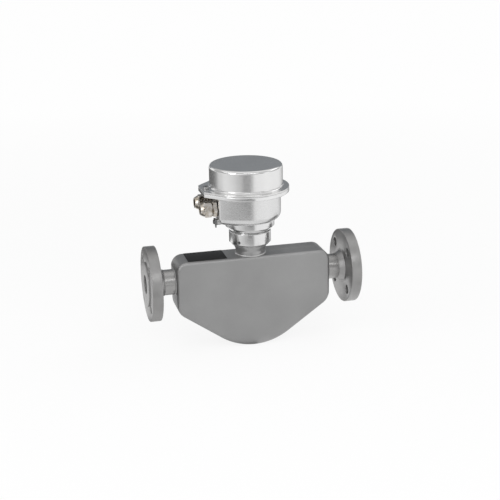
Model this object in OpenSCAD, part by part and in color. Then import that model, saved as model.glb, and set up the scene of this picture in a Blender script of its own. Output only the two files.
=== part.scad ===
// Coriolis mass flow meter with flanged ends, a welded sheet steel casing round
// two bent measuring tubes, and a turnable stainless steel transmitter on top.
// Origin: centre of the inlet flange's sealing face. +X runs along the pipe to
// the outlet, +Z points up to the transmitter, and -Y is the front.

/* [Process connection] */
// Length between the two sealing faces
face_to_face = 329; // [321:1:349]
// Outside diameter of the flanges
flange_d = 115; // [110:1:125]
// Thickness of the flange discs, raised face included
flange_t = 18; // [15:1:20]
// Diameter of the raised sealing face
raised_face_d = 68; // [60:1:70]
// Height of the raised sealing face
raised_face_h = 2; // [1:0.5:3]
// Diameter of the bolt circle
bolt_circle_d = 85; // [84:1:92]
// Diameter of the bolt holes
bolt_hole_d = 14; // [10:1:15]
// Number of bolt holes
bolt_count = 4; // [4:4:8]
// Diameter of the welding hub where it meets the disc
hub_d = 47; // [44:1:54]
// Length of the tapered hub behind the disc
hub_length = 9; // [6:1:12]
// Bore of the flange and of the nozzle behind it
bore_d = 28.5; // [24:0.5:30]
// Outside diameter of the nozzle that enters the casing
nozzle_d = 39; // [37:0.5:41]

/* [Casing] */
// Width of the casing along the pipe
casing_w = 240.5; // [234:0.5:250]
// Thickness of the casing, front to back
casing_t = 51; // [50:0.5:58]
// Height of the casing's flat top above the pipe axis
casing_top = 36; // [33:0.5:42]
// Depth of the casing's lowest point below the pipe axis
casing_drop = 108.3; // [106:0.1:116]
// Wall of the casing shells
casing_wall = 2; // [1.5:0.1:2.5]
// Radius of the two top corners
top_corner_r = 17; // [10:1:20]
// Radius where the upright ends turn into the slopes
shoulder_r = 23; // [15:1:28]
// Radius of the round belly at the bottom
belly_r = 92.8; // [88:0.2:98]
// Slope of the casing's lower sides
slope_angle = 35; // [33:0.5:37]
// Edge rounding of the pressed shells
edge_r = 4.5; // [3:0.5:6]

/* [Measuring tubes] */
// Outside diameter of each measuring tube
tube_d = 15; // [12:0.5:15.5]
// Wall of the measuring tubes
tube_wall = 1.2; // [0.8:0.1:1.6]
// Distance between the two tube axes
tube_spacing = 21; // [20:0.5:22]
// Bend radius of the tubes
tube_bend_r = 85; // [82:1:88]
// Angle at which the tubes leave the flow splitters
tube_angle = 55; // [52:1:58]
// Depth of the lowest point of the tube axes below the pipe axis
tube_drop = 84; // [81:1:86]
// Play between a tube and its socket
tube_play = 0.1; // [0.05:0.05:0.2]
// Depth of the tube sockets in the flow splitters
socket_depth = 8; // [6:1:9]
// Thickness of the brace plates
brace_t = 2; // [1.5:0.5:3]
// Width of the beam that ties the flow splitters together
beam_w = 24; // [20:1:28]
// Thickness of that beam
beam_t = 8; // [6:1:9]

/* [Coils and magnets] */
// Angle of the pickoffs either side of the middle
pickoff_angle = 35; // [25:1:40]
// Distance of the coil axes above the tube axes
coil_height = 18; // [17:0.5:21]
// Outside diameter of the coils
coil_d = 12; // [10:0.5:13]
// Length of the coils
coil_length = 7.5; // [6:0.5:8]
// Diameter of the magnets that dip into the coils
magnet_d = 6.4; // [5:0.2:7]
// Width of the brackets along the tube
bracket_w = 9; // [8:0.5:10]

/* [Neck] */
// Outside diameter of the neck
neck_d = 45; // [42:1:46]
// Bore of the neck
neck_bore_d = 32; // [28:1:34]
// Height of the neck from the casing to the socket ring
neck_h = 14.5; // [12:0.5:20]
// Outside diameter of the socket ring
ring_d = 64; // [62:1:70]
// Height of the socket ring
ring_h = 22.2; // [20:0.2:26]
// Depth of the chamfer under the socket ring
ring_chamfer = 4.8; // [3:0.2:6]
// Diameter of the socket that holds the transmitter's spigot
socket_d = 50; // [46:1:52]
// Play between spigot and socket, all round and at the seat
turn_play = 0.05; // [0.02:0.01:0.08]
// Direction of the lock screw round the neck
lock_angle = -135; // [-180:5:180]
// Diameter of the lock screw
lock_screw_d = 5; // [4:0.5:6]

/* [Transmitter housing] */
// Distance of the housing axis from the neck axis, towards the cable entries
housing_offset = 4.6; // [3:0.1:5]
// Largest diameter of the collar below the bowl
collar_d = 75.2; // [72:0.2:76]
// Height of the collar
collar_h = 17; // [15:0.5:20]
// Height of the shadow groove between socket ring and collar
groove_h = 1.3; // [0.8:0.1:2]
// Outside diameter of the bowl
bowl_d = 104.4; // [104:0.2:108]
// Height of the bowl
bowl_h = 42.6; // [41:0.2:48]
// Radius at the foot of the bowl
bowl_foot_r = 12; // [10:0.5:12]
// Wall of the bowl
bowl_wall = 2; // [1.5:0.1:2.4]
// Distance of the flat cable entry wall from the housing axis
pad_x = 50.4; // [50:0.2:52]
// Half width of the flat cable entry wall
pad_half = 37; // [36:0.5:38]
// Thickness of the housing flange
flange_plate_t = 6.2; // [5:0.2:8]
// Diameter of the housing flange and of the cover's flange
plate_d = 130; // [128:1:134]
// Reach of the lug from the housing axis
lug_reach = 69.3; // [68:0.1:72]
// Half width of the lug's flat end
lug_half = 22.5; // [18:0.5:24]

/* [Cover] */
// Outside diameter of the cover
cover_d = 110.8; // [109:0.2:112]
// Height of the cover with its flange
cover_h = 36.4; // [34:0.2:45]
// Sheet thickness of the cover
cover_wall = 1.5; // [1:0.1:2]
// Thickness of the cover's flange
cover_flange_t = 2.4; // [2:0.2:3]
// Rounding of the cover's top edge
cover_edge_r = 4.6; // [3:0.2:6]
// Fillet between the cover's wall and its flange
cover_fillet_r = 3.6; // [2:0.2:4]
// Distance of the cover screw from the housing axis
cover_screw_x = 62; // [61.6:0.1:63]

/* [Cable glands] */
// Height of the gland axes above the foot of the bowl
gland_z = 24.5; // [24:0.5:26]
// Half the distance between the two gland axes
gland_y = 20.5; // [19.5:0.5:21]
// Width across flats of the gland hexagons
gland_af = 22; // [20:0.5:22.5]
// Diameter of the gland thread
gland_thread_d = 20; // [18:0.5:20]
// Thickness of the entry plate that takes the thread
entry_plate_t = 5; // [4:0.5:6]
// Cable diameter that the sealing insert grips
cable_d = 9; // [6:0.5:10]

/* [Electronics] */
// Diameter of the electronics module
module_d = 90; // [88:1:92]
// Distance of the module's flat side from the neck axis
module_flat_x = 20; // [18:0.5:21]
// Height of the module
module_h = 45; // [40:1:50]
// Height of the posts under the module
post_h = 12; // [11:0.5:14]
// Number of wire terminals
terminal_count = 6; // [4:1:8]

/* [Hidden] */

$fn = 96;
steel = [0.66, 0.66, 0.65];
satin = [0.58, 0.58, 0.58];
polished = [0.80, 0.80, 0.79];
nickel = [0.72, 0.67, 0.58];
black = [0.09, 0.09, 0.09];
eps = 0.01;

// --- pipe line -----------------------------------------------------------
mid_x = face_to_face / 2;
hub_end = flange_t + hub_length;
flange_edge = 1;

// --- measuring tubes -----------------------------------------------------
arc_z = tube_bend_r - tube_drop;
arc_end_x = tube_bend_r * sin(tube_angle);
arc_end_z = arc_z - tube_bend_r * cos(tube_angle);
elbow_s = -arc_end_z / sin(tube_angle);
elbow_x = arc_end_x + elbow_s * cos(tube_angle);
tube_r = tube_d / 2;
tube_bore_r = tube_r - tube_wall;
socket_start = 20;
tube_end_s = elbow_s - socket_start - tube_play;
splitter_s = elbow_s - socket_start - socket_depth;
socket_wall = 2;
brace_gap = 11;
brace_s = splitter_s - brace_gap - brace_t;
brace_h = 24;
brace_play = 0.15;
beam_z = nozzle_d / 2 - 1.5;
beam_hole_r = 8;

// --- casing outline ------------------------------------------------------
belly_z = belly_r - casing_drop;
slope_reach = belly_r - belly_z * cos(slope_angle);
shoulder_x = casing_w / 2 - shoulder_r;
shoulder_z = (sin(slope_angle) * shoulder_x + shoulder_r - slope_reach) / cos(slope_angle);
cable_hole_r = neck_bore_d / 2 - 2;

// --- levels of the neck and the transmitter ------------------------------
ring_z0 = casing_top + neck_h;
ring_floor = ring_z0 + 4.5;
ring_z1 = ring_z0 + ring_h;
collar_z0 = ring_z1 + groove_h;
bowl_z0 = collar_z0 + collar_h;
plate_z0 = bowl_z0 + bowl_h;
cover_z0 = plate_z0 + flange_plate_t;
lid_z = cover_z0 + cover_flange_t;
cover_top = cover_z0 + cover_h;
housing_x = mid_x - housing_offset;

// --- neck and turning seat -----------------------------------------------
spigot_r = socket_d / 2 - turn_play;
seat_r = socket_d / 2 + 3.5;
collar_r = collar_d / 2;
collar_foot_r = collar_r - 6.8;
lip_r = 30;
lock_z = ring_floor + 4.2;
lock_groove = 1.5;
seal_z = lock_z + 7;
seal_r = 1.25;

// --- housing -------------------------------------------------------------
bowl_r = bowl_d / 2;
foot_slope = 25;
pad_face = housing_x - pad_x;
pad_corner = 5;
gland_height = bowl_z0 + gland_z;
floor_z = bowl_z0 + bowl_wall;
hole_r = bowl_r - bowl_wall;
plate_r = plate_d / 2;
screw_x = housing_x - cover_screw_x;
seal_groove_r = 57.2;
seal_groove_w = 3;
seal_groove_h = 1.8;

// --- glands --------------------------------------------------------------
seal_t = 1.5;
gland_hex_t = 6;
gland_stub_r = 8.5;
gland_stub_l = 10.5;
gland_bore_r = 6.5;
insert_r = 6.9;
nut_gap = 1;
nut_hex_l = 11.5;
nut_dome_l = 6;
nut_play = 0.1;
gland_root = pad_face - seal_t;

// --- electronics ---------------------------------------------------------
module_z0 = floor_z + post_h;
module_z1 = module_z0 + module_h;
foot_t = 4;
post_wall_gap = 2.2;
post_circle = bowl_r - bowl_foot_r - post_wall_gap;
foot_rim = 7;
foot_ledge = 2;
post_angles = [0, 75, -75];
terminal_depth = 12;
terminal_h = 16;
terminal_w = 44;
plug_h = 6;

// --- ground terminal -----------------------------------------------------
ground_y = -21;
ground_z = bowl_z0 + 4.5;
boss_r = 5;
boss_face = pad_face - 0.5;
clamp_t = 1.6;
washer_t = 1;
ground_screw_r = 2.5;
ground_hole_x = pad_face + 4;
ground_screw_x = ground_hole_x - 0.2;

// Points on an arc about c, from angle a0 to a1
function arc(c, r, a0, a1, n) =
    [for (i = [0 : n]) let (a = a0 + (a1 - a0) * i / n) [c[0] + r * cos(a), c[1] + r * sin(a)]];

// Outline of the casing seen from the front, pulled in by inset
function casing_outline(inset) = concat(
    arc([0, belly_z], belly_r - inset, -90 - slope_angle, -90 + slope_angle, 20),
    arc([shoulder_x, shoulder_z], shoulder_r - inset, slope_angle - 90, 0, 8),
    arc([casing_w / 2 - top_corner_r, casing_top - top_corner_r], top_corner_r - inset, 0, 90, 10),
    arc([top_corner_r - casing_w / 2, casing_top - top_corner_r], top_corner_r - inset, 90, 180, 10),
    arc([-shoulder_x, shoulder_z], shoulder_r - inset, 180, 270 - slope_angle, 8));

// Half section of the bowl, pulled in by inset
function bowl_section(inset) = let (r = bowl_foot_r - inset, c = [bowl_r - bowl_foot_r, bowl_z0 + bowl_foot_r],
    a = foot_slope - 90, rise = bowl_foot_r + r * sin(a) - inset) concat(
    [[0, bowl_z0 + inset], [c[0] + r * cos(a) - rise / tan(foot_slope), bowl_z0 + inset]],
    arc(c, r, a, 0, 8), [[bowl_r - inset, plate_z0], [0, plate_z0]]);

module along_x(x) translate([x, 0, 0]) rotate([0, 90, 0]) children();
module against_x(x) translate([x, 0, 0]) rotate([0, -90, 0]) children();
module at_neck() translate([mid_x, 0, 0]) children();
module at_housing() translate([housing_x, 0, 0]) children();
module turned(points) rotate_extrude() polygon(points);

// Frame at the upper end of a tube's bend; +Z runs up the straight leg
module at_leg(side) translate([mid_x + side * arc_end_x, 0, arc_end_z])
    rotate([0, side * (90 - tube_angle), 0]) children();

// Frame turned about the bend's centre; the tube axis lies at z = -tube_bend_r
module on_arc(turn) translate([mid_x, 0, arc_z]) rotate([0, -turn, 0]) children();

// Ring section swept along the tubes' bend, centred on its lowest point
module bend_sweep(r_out, r_in, angle) translate([mid_x, 0, arc_z]) rotate([90, 0, 0])
    rotate([0, 0, -90 - angle / 2]) rotate_extrude(angle = angle) translate([tube_bend_r, 0])
        difference() { circle(r = r_out, $fn = 48); if (r_in > 0) circle(r = r_in, $fn = 48); }

// --- flanges and flow splitters ------------------------------------------
module flange() color(steel) difference() {
    along_x(0) turned([
        [0, 0], [raised_face_d / 2, 0], [raised_face_d / 2, raised_face_h],
        [flange_d / 2 - flange_edge, raised_face_h], [flange_d / 2, raised_face_h + flange_edge],
        [flange_d / 2, flange_t - flange_edge], [flange_d / 2 - flange_edge, flange_t],
        [hub_d / 2 + 1.5, flange_t], [hub_d / 2, flange_t + 1],
        [nozzle_d / 2, hub_end], [0, hub_end]]);
    along_x(-1) cylinder(d = bore_d, h = hub_end + 2);
    for (i = [0 : bolt_count - 1]) rotate([(i + 0.5) * 360 / bolt_count, 0, 0])
        translate([0, bolt_circle_d / 2, 0]) along_x(-1) cylinder(d = bolt_hole_d, h = flange_t + 2, $fn = 48);
}
module to_outlet() translate([face_to_face, 0, 0]) rotate([0, 0, 180]) children();
module inlet_flange() flange();
module outlet_flange() to_outlet() flange();

// Nozzle and flow splitter, drawn for the inlet side; well = true has the sensor's hole
module splitter(well) {
    elbow = mid_x - elbow_x;
    color(steel) difference() {
        union() {
            along_x(hub_end) cylinder(d = nozzle_d, h = elbow - hub_end);
            hull() {
                translate([elbow, 0, 0]) sphere(d = nozzle_d, $fn = 32);
                for (y = [-1, 1] * tube_spacing / 2) translate([0, y, 0]) at_leg(-1)
                    translate([0, 0, splitter_s])
                        cylinder(r = tube_r + socket_wall, h = socket_depth + 8, $fn = 32);
            }
        }
        along_x(hub_end - 1) cylinder(d = bore_d, h = elbow - hub_end + 1);
        translate([elbow, 0, 0]) sphere(d = bore_d);
        for (y = [-1, 1] * tube_spacing / 2) translate([0, y, 0]) at_leg(-1) {
            translate([0, 0, splitter_s - 1]) cylinder(r = tube_r + tube_play, h = socket_depth + 1, $fn = 48);
            translate([0, 0, splitter_s]) cylinder(r = tube_bore_r, h = elbow_s - splitter_s - 4, $fn = 48);
        }
        translate([elbow - 14, -beam_w / 2, beam_z]) cube([40, beam_w, 20]);
        if (well) translate([elbow, bore_d / 2 + 1.5, 0]) rotate([-90, 0, 0])
            cylinder(d = 5, h = nozzle_d, $fn = 32);
    }
}
module inlet_manifold() splitter(true);
module outlet_manifold() to_outlet() splitter(false);

module support_beam() color(satin) difference() {
    translate([mid_x - elbow_x - 14, -beam_w / 2, beam_z]) cube([2 * elbow_x + 28, beam_w, beam_t]);
    at_neck() translate([0, 0, beam_z - 1]) cylinder(r = beam_hole_r, h = beam_t + 2);
    for (x = [-1, 1] * elbow_x * 0.55) translate([mid_x + x, 0, beam_z - 1]) cylinder(r = 6, h = beam_t + 2);
}

// Brace plates near each splitter, which set where the tubes start to swing
module brace_plates() color(steel) for (side = [-1, 1]) at_leg(side) translate([0, 0, brace_s])
    difference() {
        translate([-brace_h / 2, -casing_t / 2 + casing_wall + 3, 0])
            cube([brace_h, casing_t - 2 * casing_wall - 6, brace_t]);
        for (y = [-1, 1] * tube_spacing / 2) translate([0, y, -1])
            cylinder(r = tube_r + brace_play, h = brace_t + 2, $fn = 48);
    }

module temperature_sensor() color("silver") translate([mid_x - elbow_x, 0, 0]) rotate([-90, 0, 0]) {
    translate([0, 0, bore_d / 2 + 1.6]) cylinder(d = 4.9, h = nozzle_d / 2 - bore_d / 2 - 1.2, $fn = 32);
    translate([0, 0, nozzle_d / 2 + 0.3]) cylinder(d = 8, h = 2, $fn = 32);
}

// --- measuring tubes -----------------------------------------------------
leg_step = 0.05;
leg_overlap = 0.5;
module tube_solid(r, over) {
    bend_sweep(r - leg_step, 0, 2 * tube_angle);
    for (side = [-1, 1]) at_leg(side) translate([0, 0, -leg_overlap])
        cylinder(r = r, h = tube_end_s + leg_overlap + over, $fn = 48);
}
module tube(y) color([0.75, 0.75, 0.74]) translate([0, y, 0]) difference() {
    tube_solid(tube_r, 0);
    tube_solid(tube_bore_r, 1);
}
module front_measuring_tube() tube(-tube_spacing / 2);
module rear_measuring_tube() tube(tube_spacing / 2);

// Saddles round a tube with the tabs that hold coils or magnets.
// face = 1 for the front tube, whose tabs look to +Y, and -1 for the rear one
saddle_wall = 1.8;
tab_t = 3;
tab_y = tube_spacing / 2 - 2;
module tube_brackets(face) color(steel) for (turn = [-pickoff_angle, 0, pickoff_angle]) on_arc(turn) {
    translate([-mid_x, -face * tube_spacing / 2, -arc_z])
        bend_sweep(tube_r + saddle_wall, tube_r, bracket_w / tube_bend_r * 180 / PI);
    translate([-bracket_w / 2, -face * (tab_y + tab_t / 2) - tab_t / 2, tube_r + 0.3 - tube_bend_r])
        cube([bracket_w, tab_t, coil_height + coil_d / 2 - tube_r - 0.3]);
}
module front_tube_brackets() tube_brackets(1);
module rear_tube_brackets() tube_brackets(-1);

coil_floor = 1;
coil_play = 1;
module coil(turn) color([0.72, 0.38, 0.16]) on_arc(turn)
    translate([0, -tab_y, coil_height - tube_bend_r]) rotate([-90, 0, 0]) difference() {
        cylinder(d = coil_d, h = coil_length, $fn = 48);
        translate([0, 0, coil_floor]) cylinder(d = magnet_d + 2 * coil_play, h = coil_length, $fn = 48);
    }
module drive_coil() coil(0);
module pickoff_coils() for (turn = [-pickoff_angle, pickoff_angle]) coil(turn);

// Magnet on its cup, dipping into the coil of the other tube
cup_gap = 2;
tip_gap = 3;
module magnet(turn) color([0.35, 0.35, 0.37]) on_arc(turn)
    translate([0, tab_y, coil_height - tube_bend_r]) rotate([90, 0, 0]) {
        cylinder(d = coil_d, h = 2 * tab_y - coil_length - cup_gap, $fn = 48);
        cylinder(d = magnet_d, h = 2 * tab_y - tip_gap, $fn = 48);
    }
module drive_magnet() magnet(0);
module pickoff_magnets() for (turn = [-pickoff_angle, pickoff_angle]) magnet(turn);

// --- casing --------------------------------------------------------------
// Pressed shape of the casing: the outline rounded over at both faces
module casing_form(inset) {
    r = edge_r - inset;
    at_neck() hull() for (a = [0 : 30 : 90]) rotate([90, 0, 0])
        linear_extrude(casing_t - 2 * edge_r + 2 * r * sin(a), center = true)
            polygon(casing_outline(inset + r * (1 - cos(a))));
}

// One pressed half; face = -1 is the front one
module casing_half(face) color(satin) difference() {
    intersection() {
        difference() { casing_form(0); casing_form(casing_wall); }
        translate([mid_x - casing_w, min(0, face * casing_t), -casing_drop - 10])
            cube([2 * casing_w, casing_t, casing_drop + casing_top + 20]);
    }
    along_x(0) cylinder(d = nozzle_d, h = face_to_face);
    at_neck() cylinder(r = cable_hole_r, h = casing_top + 10);
}
module casing_front_shell() casing_half(-1);
module casing_rear_shell() casing_half(1);

// Bare plate on the casing's top, on the inlet side
plate_l = 60;
plate_w = 41;
plate_t = 0.8;
module nameplate() color(black)
    translate([mid_x - casing_w / 2 + top_corner_r + 2.2, -plate_w / 2, casing_top]) cube([plate_l, plate_w, plate_t]);

// --- neck ----------------------------------------------------------------
weld_r = neck_d / 2 + 1.8;
neck_flare = 3.5;
module neck() color(satin) difference() {
    at_neck() turned(concat(
        [[neck_bore_d / 2, casing_top - 4], [weld_r, casing_top - 4], [weld_r, casing_top + 0.6]],
        arc([weld_r - 1.8, casing_top + 0.6], 1.8, 0, 90, 4),
        [[neck_d / 2, casing_top + neck_h / 2], [neck_d / 2 + 1, casing_top + neck_h * 0.7],
         [neck_d / 2 + neck_flare, ring_z0], [neck_bore_d / 2, ring_z0]]));
    casing_form(0);
}

module socket_ring() color(polished) difference() {
    at_neck() turned([
        [neck_bore_d / 2, ring_z0], [ring_d / 2 - ring_chamfer, ring_z0], [ring_d / 2, ring_z0 + ring_chamfer],
        [ring_d / 2, ring_z1 - 0.6], [ring_d / 2 - 0.6, ring_z1], [socket_d / 2, ring_z1],
        [socket_d / 2, ring_floor], [neck_bore_d / 2, ring_floor]]);
    at_lock() cylinder(d = lock_screw_d, h = ring_d, $fn = 32);
}

// Frame of the lock screw: +Z points outwards through the socket ring
module at_lock() translate([mid_x, 0, lock_z]) rotate([0, 0, lock_angle]) rotate([0, 90, 0]) children();
lock_tip = spigot_r - lock_groove + turn_play;
module lock_screw() color([0.15, 0.15, 0.16]) at_lock() translate([0, 0, lock_tip]) difference() {
    cylinder(d = lock_screw_d - 2 * turn_play, h = ring_d / 2 - lock_tip - 1, $fn = 32);
    translate([0, 0, ring_d / 2 - lock_tip - 3.2]) cylinder(d = lock_screw_d * 0.55, h = 5, $fn = 6);
}

feedthrough_lift = 3;
feedthrough_t = 5;
pin_circle = 8;
pin_r = 0.7;
pin_l = 11;
module feedthrough() color([0.45, 0.47, 0.45]) at_neck() {
    translate([0, 0, casing_top + feedthrough_lift]) cylinder(d = neck_bore_d, h = feedthrough_t);
    for (a = [0 : 45 : 315]) rotate([0, 0, a]) translate([pin_circle, 0, casing_top])
        cylinder(r = pin_r, h = pin_l, $fn = 16);
}

// Leads from the feedthrough through the beam's hole and down to the coils
lead_r = 1.2;
lead_y = coil_length / 2 - tab_y;
lead_z = beam_z - lead_r - 0.3;
module lead_drop(x, z_end) translate([mid_x + x, lead_y, 0]) {
    translate([0, 0, z_end]) cylinder(r = lead_r, h = lead_z - z_end, $fn = 24);
    translate([0, 0, lead_z]) sphere(r = lead_r, $fn = 24);
}
module coil_leads() color([0.85, 0.82, 0.75]) {
    coil_axis_r = tube_bend_r - coil_height;
    for (turn = [-pickoff_angle, 0, pickoff_angle])
        lead_drop(coil_axis_r * sin(turn), arc_z - coil_axis_r * cos(turn) + coil_d / 2 + 0.3);
    reach = coil_axis_r * sin(pickoff_angle);
    translate([0, lead_y, lead_z]) along_x(mid_x - reach) cylinder(r = lead_r, h = 2 * reach, $fn = 24);
    translate([mid_x, lead_y, lead_z]) cylinder(r = 2, h = casing_top + 2.7 - lead_z, $fn = 24);
}

// Cable from the feedthrough up to the plug under the electronics
boot_r = pin_circle + pin_r + 0.8;
boot_h = 5;
boot_top = casing_top + pin_l + boot_h;
sensor_cable_r = 4;
cable_top = module_z0 - plug_h - 0.3;
module sensor_cable() color([0.2, 0.2, 0.2]) at_neck() {
    translate([0, 0, boot_top - boot_h]) cylinder(r = boot_r, h = boot_h, $fn = 48);
    translate([0, 0, boot_top]) cylinder(r = sensor_cable_r, h = cable_top - boot_top, $fn = 48);
}

// --- transmitter housing -------------------------------------------------
module housing_collar() color(polished) at_neck() turned(concat(
    [[neck_bore_d / 2 - 1, ring_floor + 0.3], [spigot_r, ring_floor + 0.3],
     [spigot_r, lock_z - 3], [spigot_r - lock_groove, lock_z - 2.7],
     [spigot_r - lock_groove, lock_z + 2.7], [spigot_r, lock_z + 3],
     [spigot_r, seal_z - seal_r - 0.2], [spigot_r - 2 * seal_r - 0.05, seal_z - seal_r - 0.2],
     [spigot_r - 2 * seal_r - 0.05, seal_z + seal_r + 0.2], [spigot_r, seal_z + seal_r + 0.2],
     [spigot_r, ring_z1 + turn_play], [seat_r, ring_z1 + turn_play], [seat_r, collar_z0],
     [collar_foot_r, collar_z0], [collar_r, collar_z0 + collar_r - collar_foot_r]],
    [[collar_r, bowl_z0], [lip_r, bowl_z0], [lip_r, floor_z], [neck_bore_d / 2 - 1, floor_z]]));

module turn_seal() color(black) at_neck() translate([0, 0, seal_z]) rotate_extrude()
    translate([spigot_r - seal_r, 0]) circle(r = seal_r - 0.02, $fn = 32);

// Drawn bowl, round but for the flat wall of the cable entries
module bowl_form(inset) intersection() {
    union() {
        at_housing() turned(bowl_section(inset));
        hull() {
            for (side = [-1, 1]) {
                translate([pad_face + bowl_foot_r, side * (pad_half - bowl_foot_r), bowl_z0 + bowl_foot_r])
                    sphere(r = bowl_foot_r - inset, $fn = 32);
                translate([pad_face + pad_corner, side * (pad_half - pad_corner), bowl_z0 + bowl_foot_r])
                    cylinder(r = pad_corner - inset, h = plate_z0 - bowl_z0 - bowl_foot_r, $fn = 32);
            }
            at_housing() translate([0, 0, bowl_z0 + inset])
                cylinder(r = bowl_r - bowl_foot_r - inset, h = plate_z0 - bowl_z0 - inset, $fn = 64);
        }
    }
    translate([pad_face + inset, -bowl_d, bowl_z0]) cube([2 * bowl_d, 2 * bowl_d, plate_z0 - bowl_z0]);
}
module gland_axis(side, x) translate([0, side * gland_y, gland_height]) against_x(x) children();
module housing_bowl() color(polished) difference() {
    bowl_form(0);
    bowl_form(bowl_wall);
    at_neck() translate([0, 0, bowl_z0 - 1]) cylinder(r = lip_r, h = bowl_wall + 2);
    for (side = [-1, 1]) gland_axis(side, pad_face + 8) cylinder(d = gland_thread_d, h = 20);
    ground_axis(pad_face + 14) cylinder(r = boss_r, h = 20, $fn = 48);
}

// Outline shared by the housing flange and the cover's flange: a disc with a lug
module plate_outline() {
    reach = sqrt(pow(lug_reach, 2) + pow(lug_half, 2));
    touch = 180 - atan(lug_half / lug_reach) - acos(plate_r / reach);
    circle(r = plate_r);
    polygon([[0, 0], plate_r * [cos(touch), sin(touch)], [-lug_reach, lug_half],
             [-lug_reach, -lug_half], plate_r * [cos(touch), -sin(touch)]]);
}
module plate(z, h) at_housing() translate([0, 0, z]) linear_extrude(h) plate_outline();
cover_screw_r = 2.5;
cover_screw_head_r = 4.25;

module housing_flange() color(polished) difference() {
    plate(plate_z0, flange_plate_t);
    at_housing() {
        translate([0, 0, plate_z0 - 1]) cylinder(r = hole_r, h = flange_plate_t + 2);
        translate([0, 0, cover_z0 - seal_groove_h]) difference() {
            cylinder(r = seal_groove_r + seal_groove_w / 2, h = 5);
            translate([0, 0, -1]) cylinder(r = seal_groove_r - seal_groove_w / 2, h = 7);
        }
    }
    translate([screw_x, 0, plate_z0 - 1]) cylinder(r = cover_screw_r + turn_play, h = flange_plate_t + 2, $fn = 32);
}
module cover_seal() color(black) at_housing() translate([0, 0, cover_z0 - seal_groove_h]) difference() {
    cylinder(r = seal_groove_r + seal_groove_w / 2, h = seal_groove_h);
    translate([0, 0, -1]) cylinder(r = seal_groove_r - seal_groove_w / 2, h = seal_groove_h + 2);
}

// Threaded plate inside the flat wall, which takes the glands
module entry_plate() color(steel) difference() {
    translate([pad_face + bowl_wall, -gland_y - gland_thread_d * 0.56, gland_height - gland_thread_d * 0.575])
        cube([entry_plate_t, 2 * gland_y + gland_thread_d * 1.12, gland_thread_d * 1.15]);
    for (side = [-1, 1]) gland_axis(side, pad_face + 12) cylinder(d = gland_thread_d, h = 20);
}

module cover() color(polished) difference() {
    union() {
        plate(cover_z0, cover_flange_t);
        at_housing() turned(concat(
            [[0, cover_z0], [cover_d / 2 + cover_fillet_r, cover_z0], [cover_d / 2 + cover_fillet_r, lid_z]],
            arc([cover_d / 2 + cover_fillet_r, lid_z + cover_fillet_r], cover_fillet_r, -90, -180, 6),
            arc([cover_d / 2 - cover_edge_r, cover_top - cover_edge_r], cover_edge_r, 0, 90, 8),
            [[0, cover_top]]));
    }
    at_housing() turned(concat(
        [[0, cover_z0 - 1], [cover_d / 2 - cover_wall, cover_z0 - 1]],
        arc([cover_d / 2 - cover_edge_r, cover_top - cover_edge_r], cover_edge_r - cover_wall, 0, 90, 8),
        [[0, cover_top - cover_wall]]));
    translate([screw_x, 0, cover_z0 - 1]) cylinder(r = cover_screw_r + 0.2, h = 10, $fn = 32);
    translate([screw_x, 0, lid_z]) cylinder(r = cover_screw_head_r + 0.3, h = 10, $fn = 48);
}
module cover_screw() color([0.55, 0.55, 0.54]) translate([screw_x, 0, 0]) difference() {
    union() {
        translate([0, 0, plate_z0 + 0.6]) cylinder(r = cover_screw_r, h = lid_z - plate_z0, $fn = 32);
        translate([0, 0, lid_z]) cylinder(r = cover_screw_head_r, h = 3.2, $fn = 32);
    }
    translate([0, 0, lid_z + 1.2]) cylinder(r = 2.3, h = 5, $fn = 6);
}

// --- cable glands --------------------------------------------------------
// Hexagon with its corners turned off at one end
module hex_turned(af, h, chamfer) intersection() {
    rotate([0, 0, 30]) cylinder(r = af / sqrt(3), h = h, $fn = 6);
    turned([[0, 0], [af / sqrt(3), 0], [af / sqrt(3), h - chamfer], [af / 2 - 0.3, h], [0, h]]);
}
module gland_body(side) color(nickel) gland_axis(side, gland_root) difference() {
    union() {
        translate([0, 0, -seal_t - bowl_wall - entry_plate_t - 2])
            cylinder(d = gland_thread_d, h = seal_t + bowl_wall + entry_plate_t + 2);
        hex_turned(gland_af, gland_hex_t, 1);
        cylinder(r = gland_stub_r, h = gland_hex_t + gland_stub_l);
    }
    translate([0, 0, -20]) cylinder(r = gland_bore_r, h = 60);
    translate([0, 0, gland_hex_t + gland_stub_l - 7]) cylinder(r = insert_r + 0.05, h = 20);
}
module front_gland_body() gland_body(-1);
module rear_gland_body() gland_body(1);

module gland_seal(side) color(black) gland_axis(side, pad_face) difference() {
    cylinder(d = gland_af, h = seal_t);
    translate([0, 0, -1]) cylinder(d = gland_thread_d, h = seal_t + 2);
}
module front_gland_seal() gland_seal(-1);
module rear_gland_seal() gland_seal(1);

module gland_insert(side) color(black) gland_axis(side, gland_root - gland_hex_t - gland_stub_l + 7) difference() {
    turned([[0, 0], [insert_r, 0], [insert_r, 7.2], [insert_r - 1, 8], [0, 8]]);
    translate([0, 0, -1]) cylinder(d = cable_d, h = 12);
}
module front_gland_insert() gland_insert(-1);
module rear_gland_insert() gland_insert(1);

nut_hole_r = cable_d / 2 + 1.5;
module gland_nut(side) color(nickel) gland_axis(side, gland_root - gland_hex_t - nut_gap) difference() {
    union() {
        hex_turned(gland_af, nut_hex_l, 1);
        translate([0, 0, nut_hex_l - eps]) turned(concat([[0, 0], [gland_af / 2 - 0.6, 0]],
            arc([gland_af / 2 - 3.6, nut_dome_l - 3], 3, 0, 90, 5), [[0, nut_dome_l]]));
    }
    translate([0, 0, -1]) cylinder(r = gland_stub_r + nut_play, h = gland_stub_l + 1.5);
    turned([[0, 0], [gland_stub_r + nut_play, 0], [gland_stub_r + nut_play, gland_stub_l + 0.5],
            [nut_hole_r, nut_hex_l + 2.5], [nut_hole_r, nut_hex_l + nut_dome_l + 1], [0, nut_hex_l + nut_dome_l + 1]]);
}
module front_gland_nut() gland_nut(-1);
module rear_gland_nut() gland_nut(1);

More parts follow.
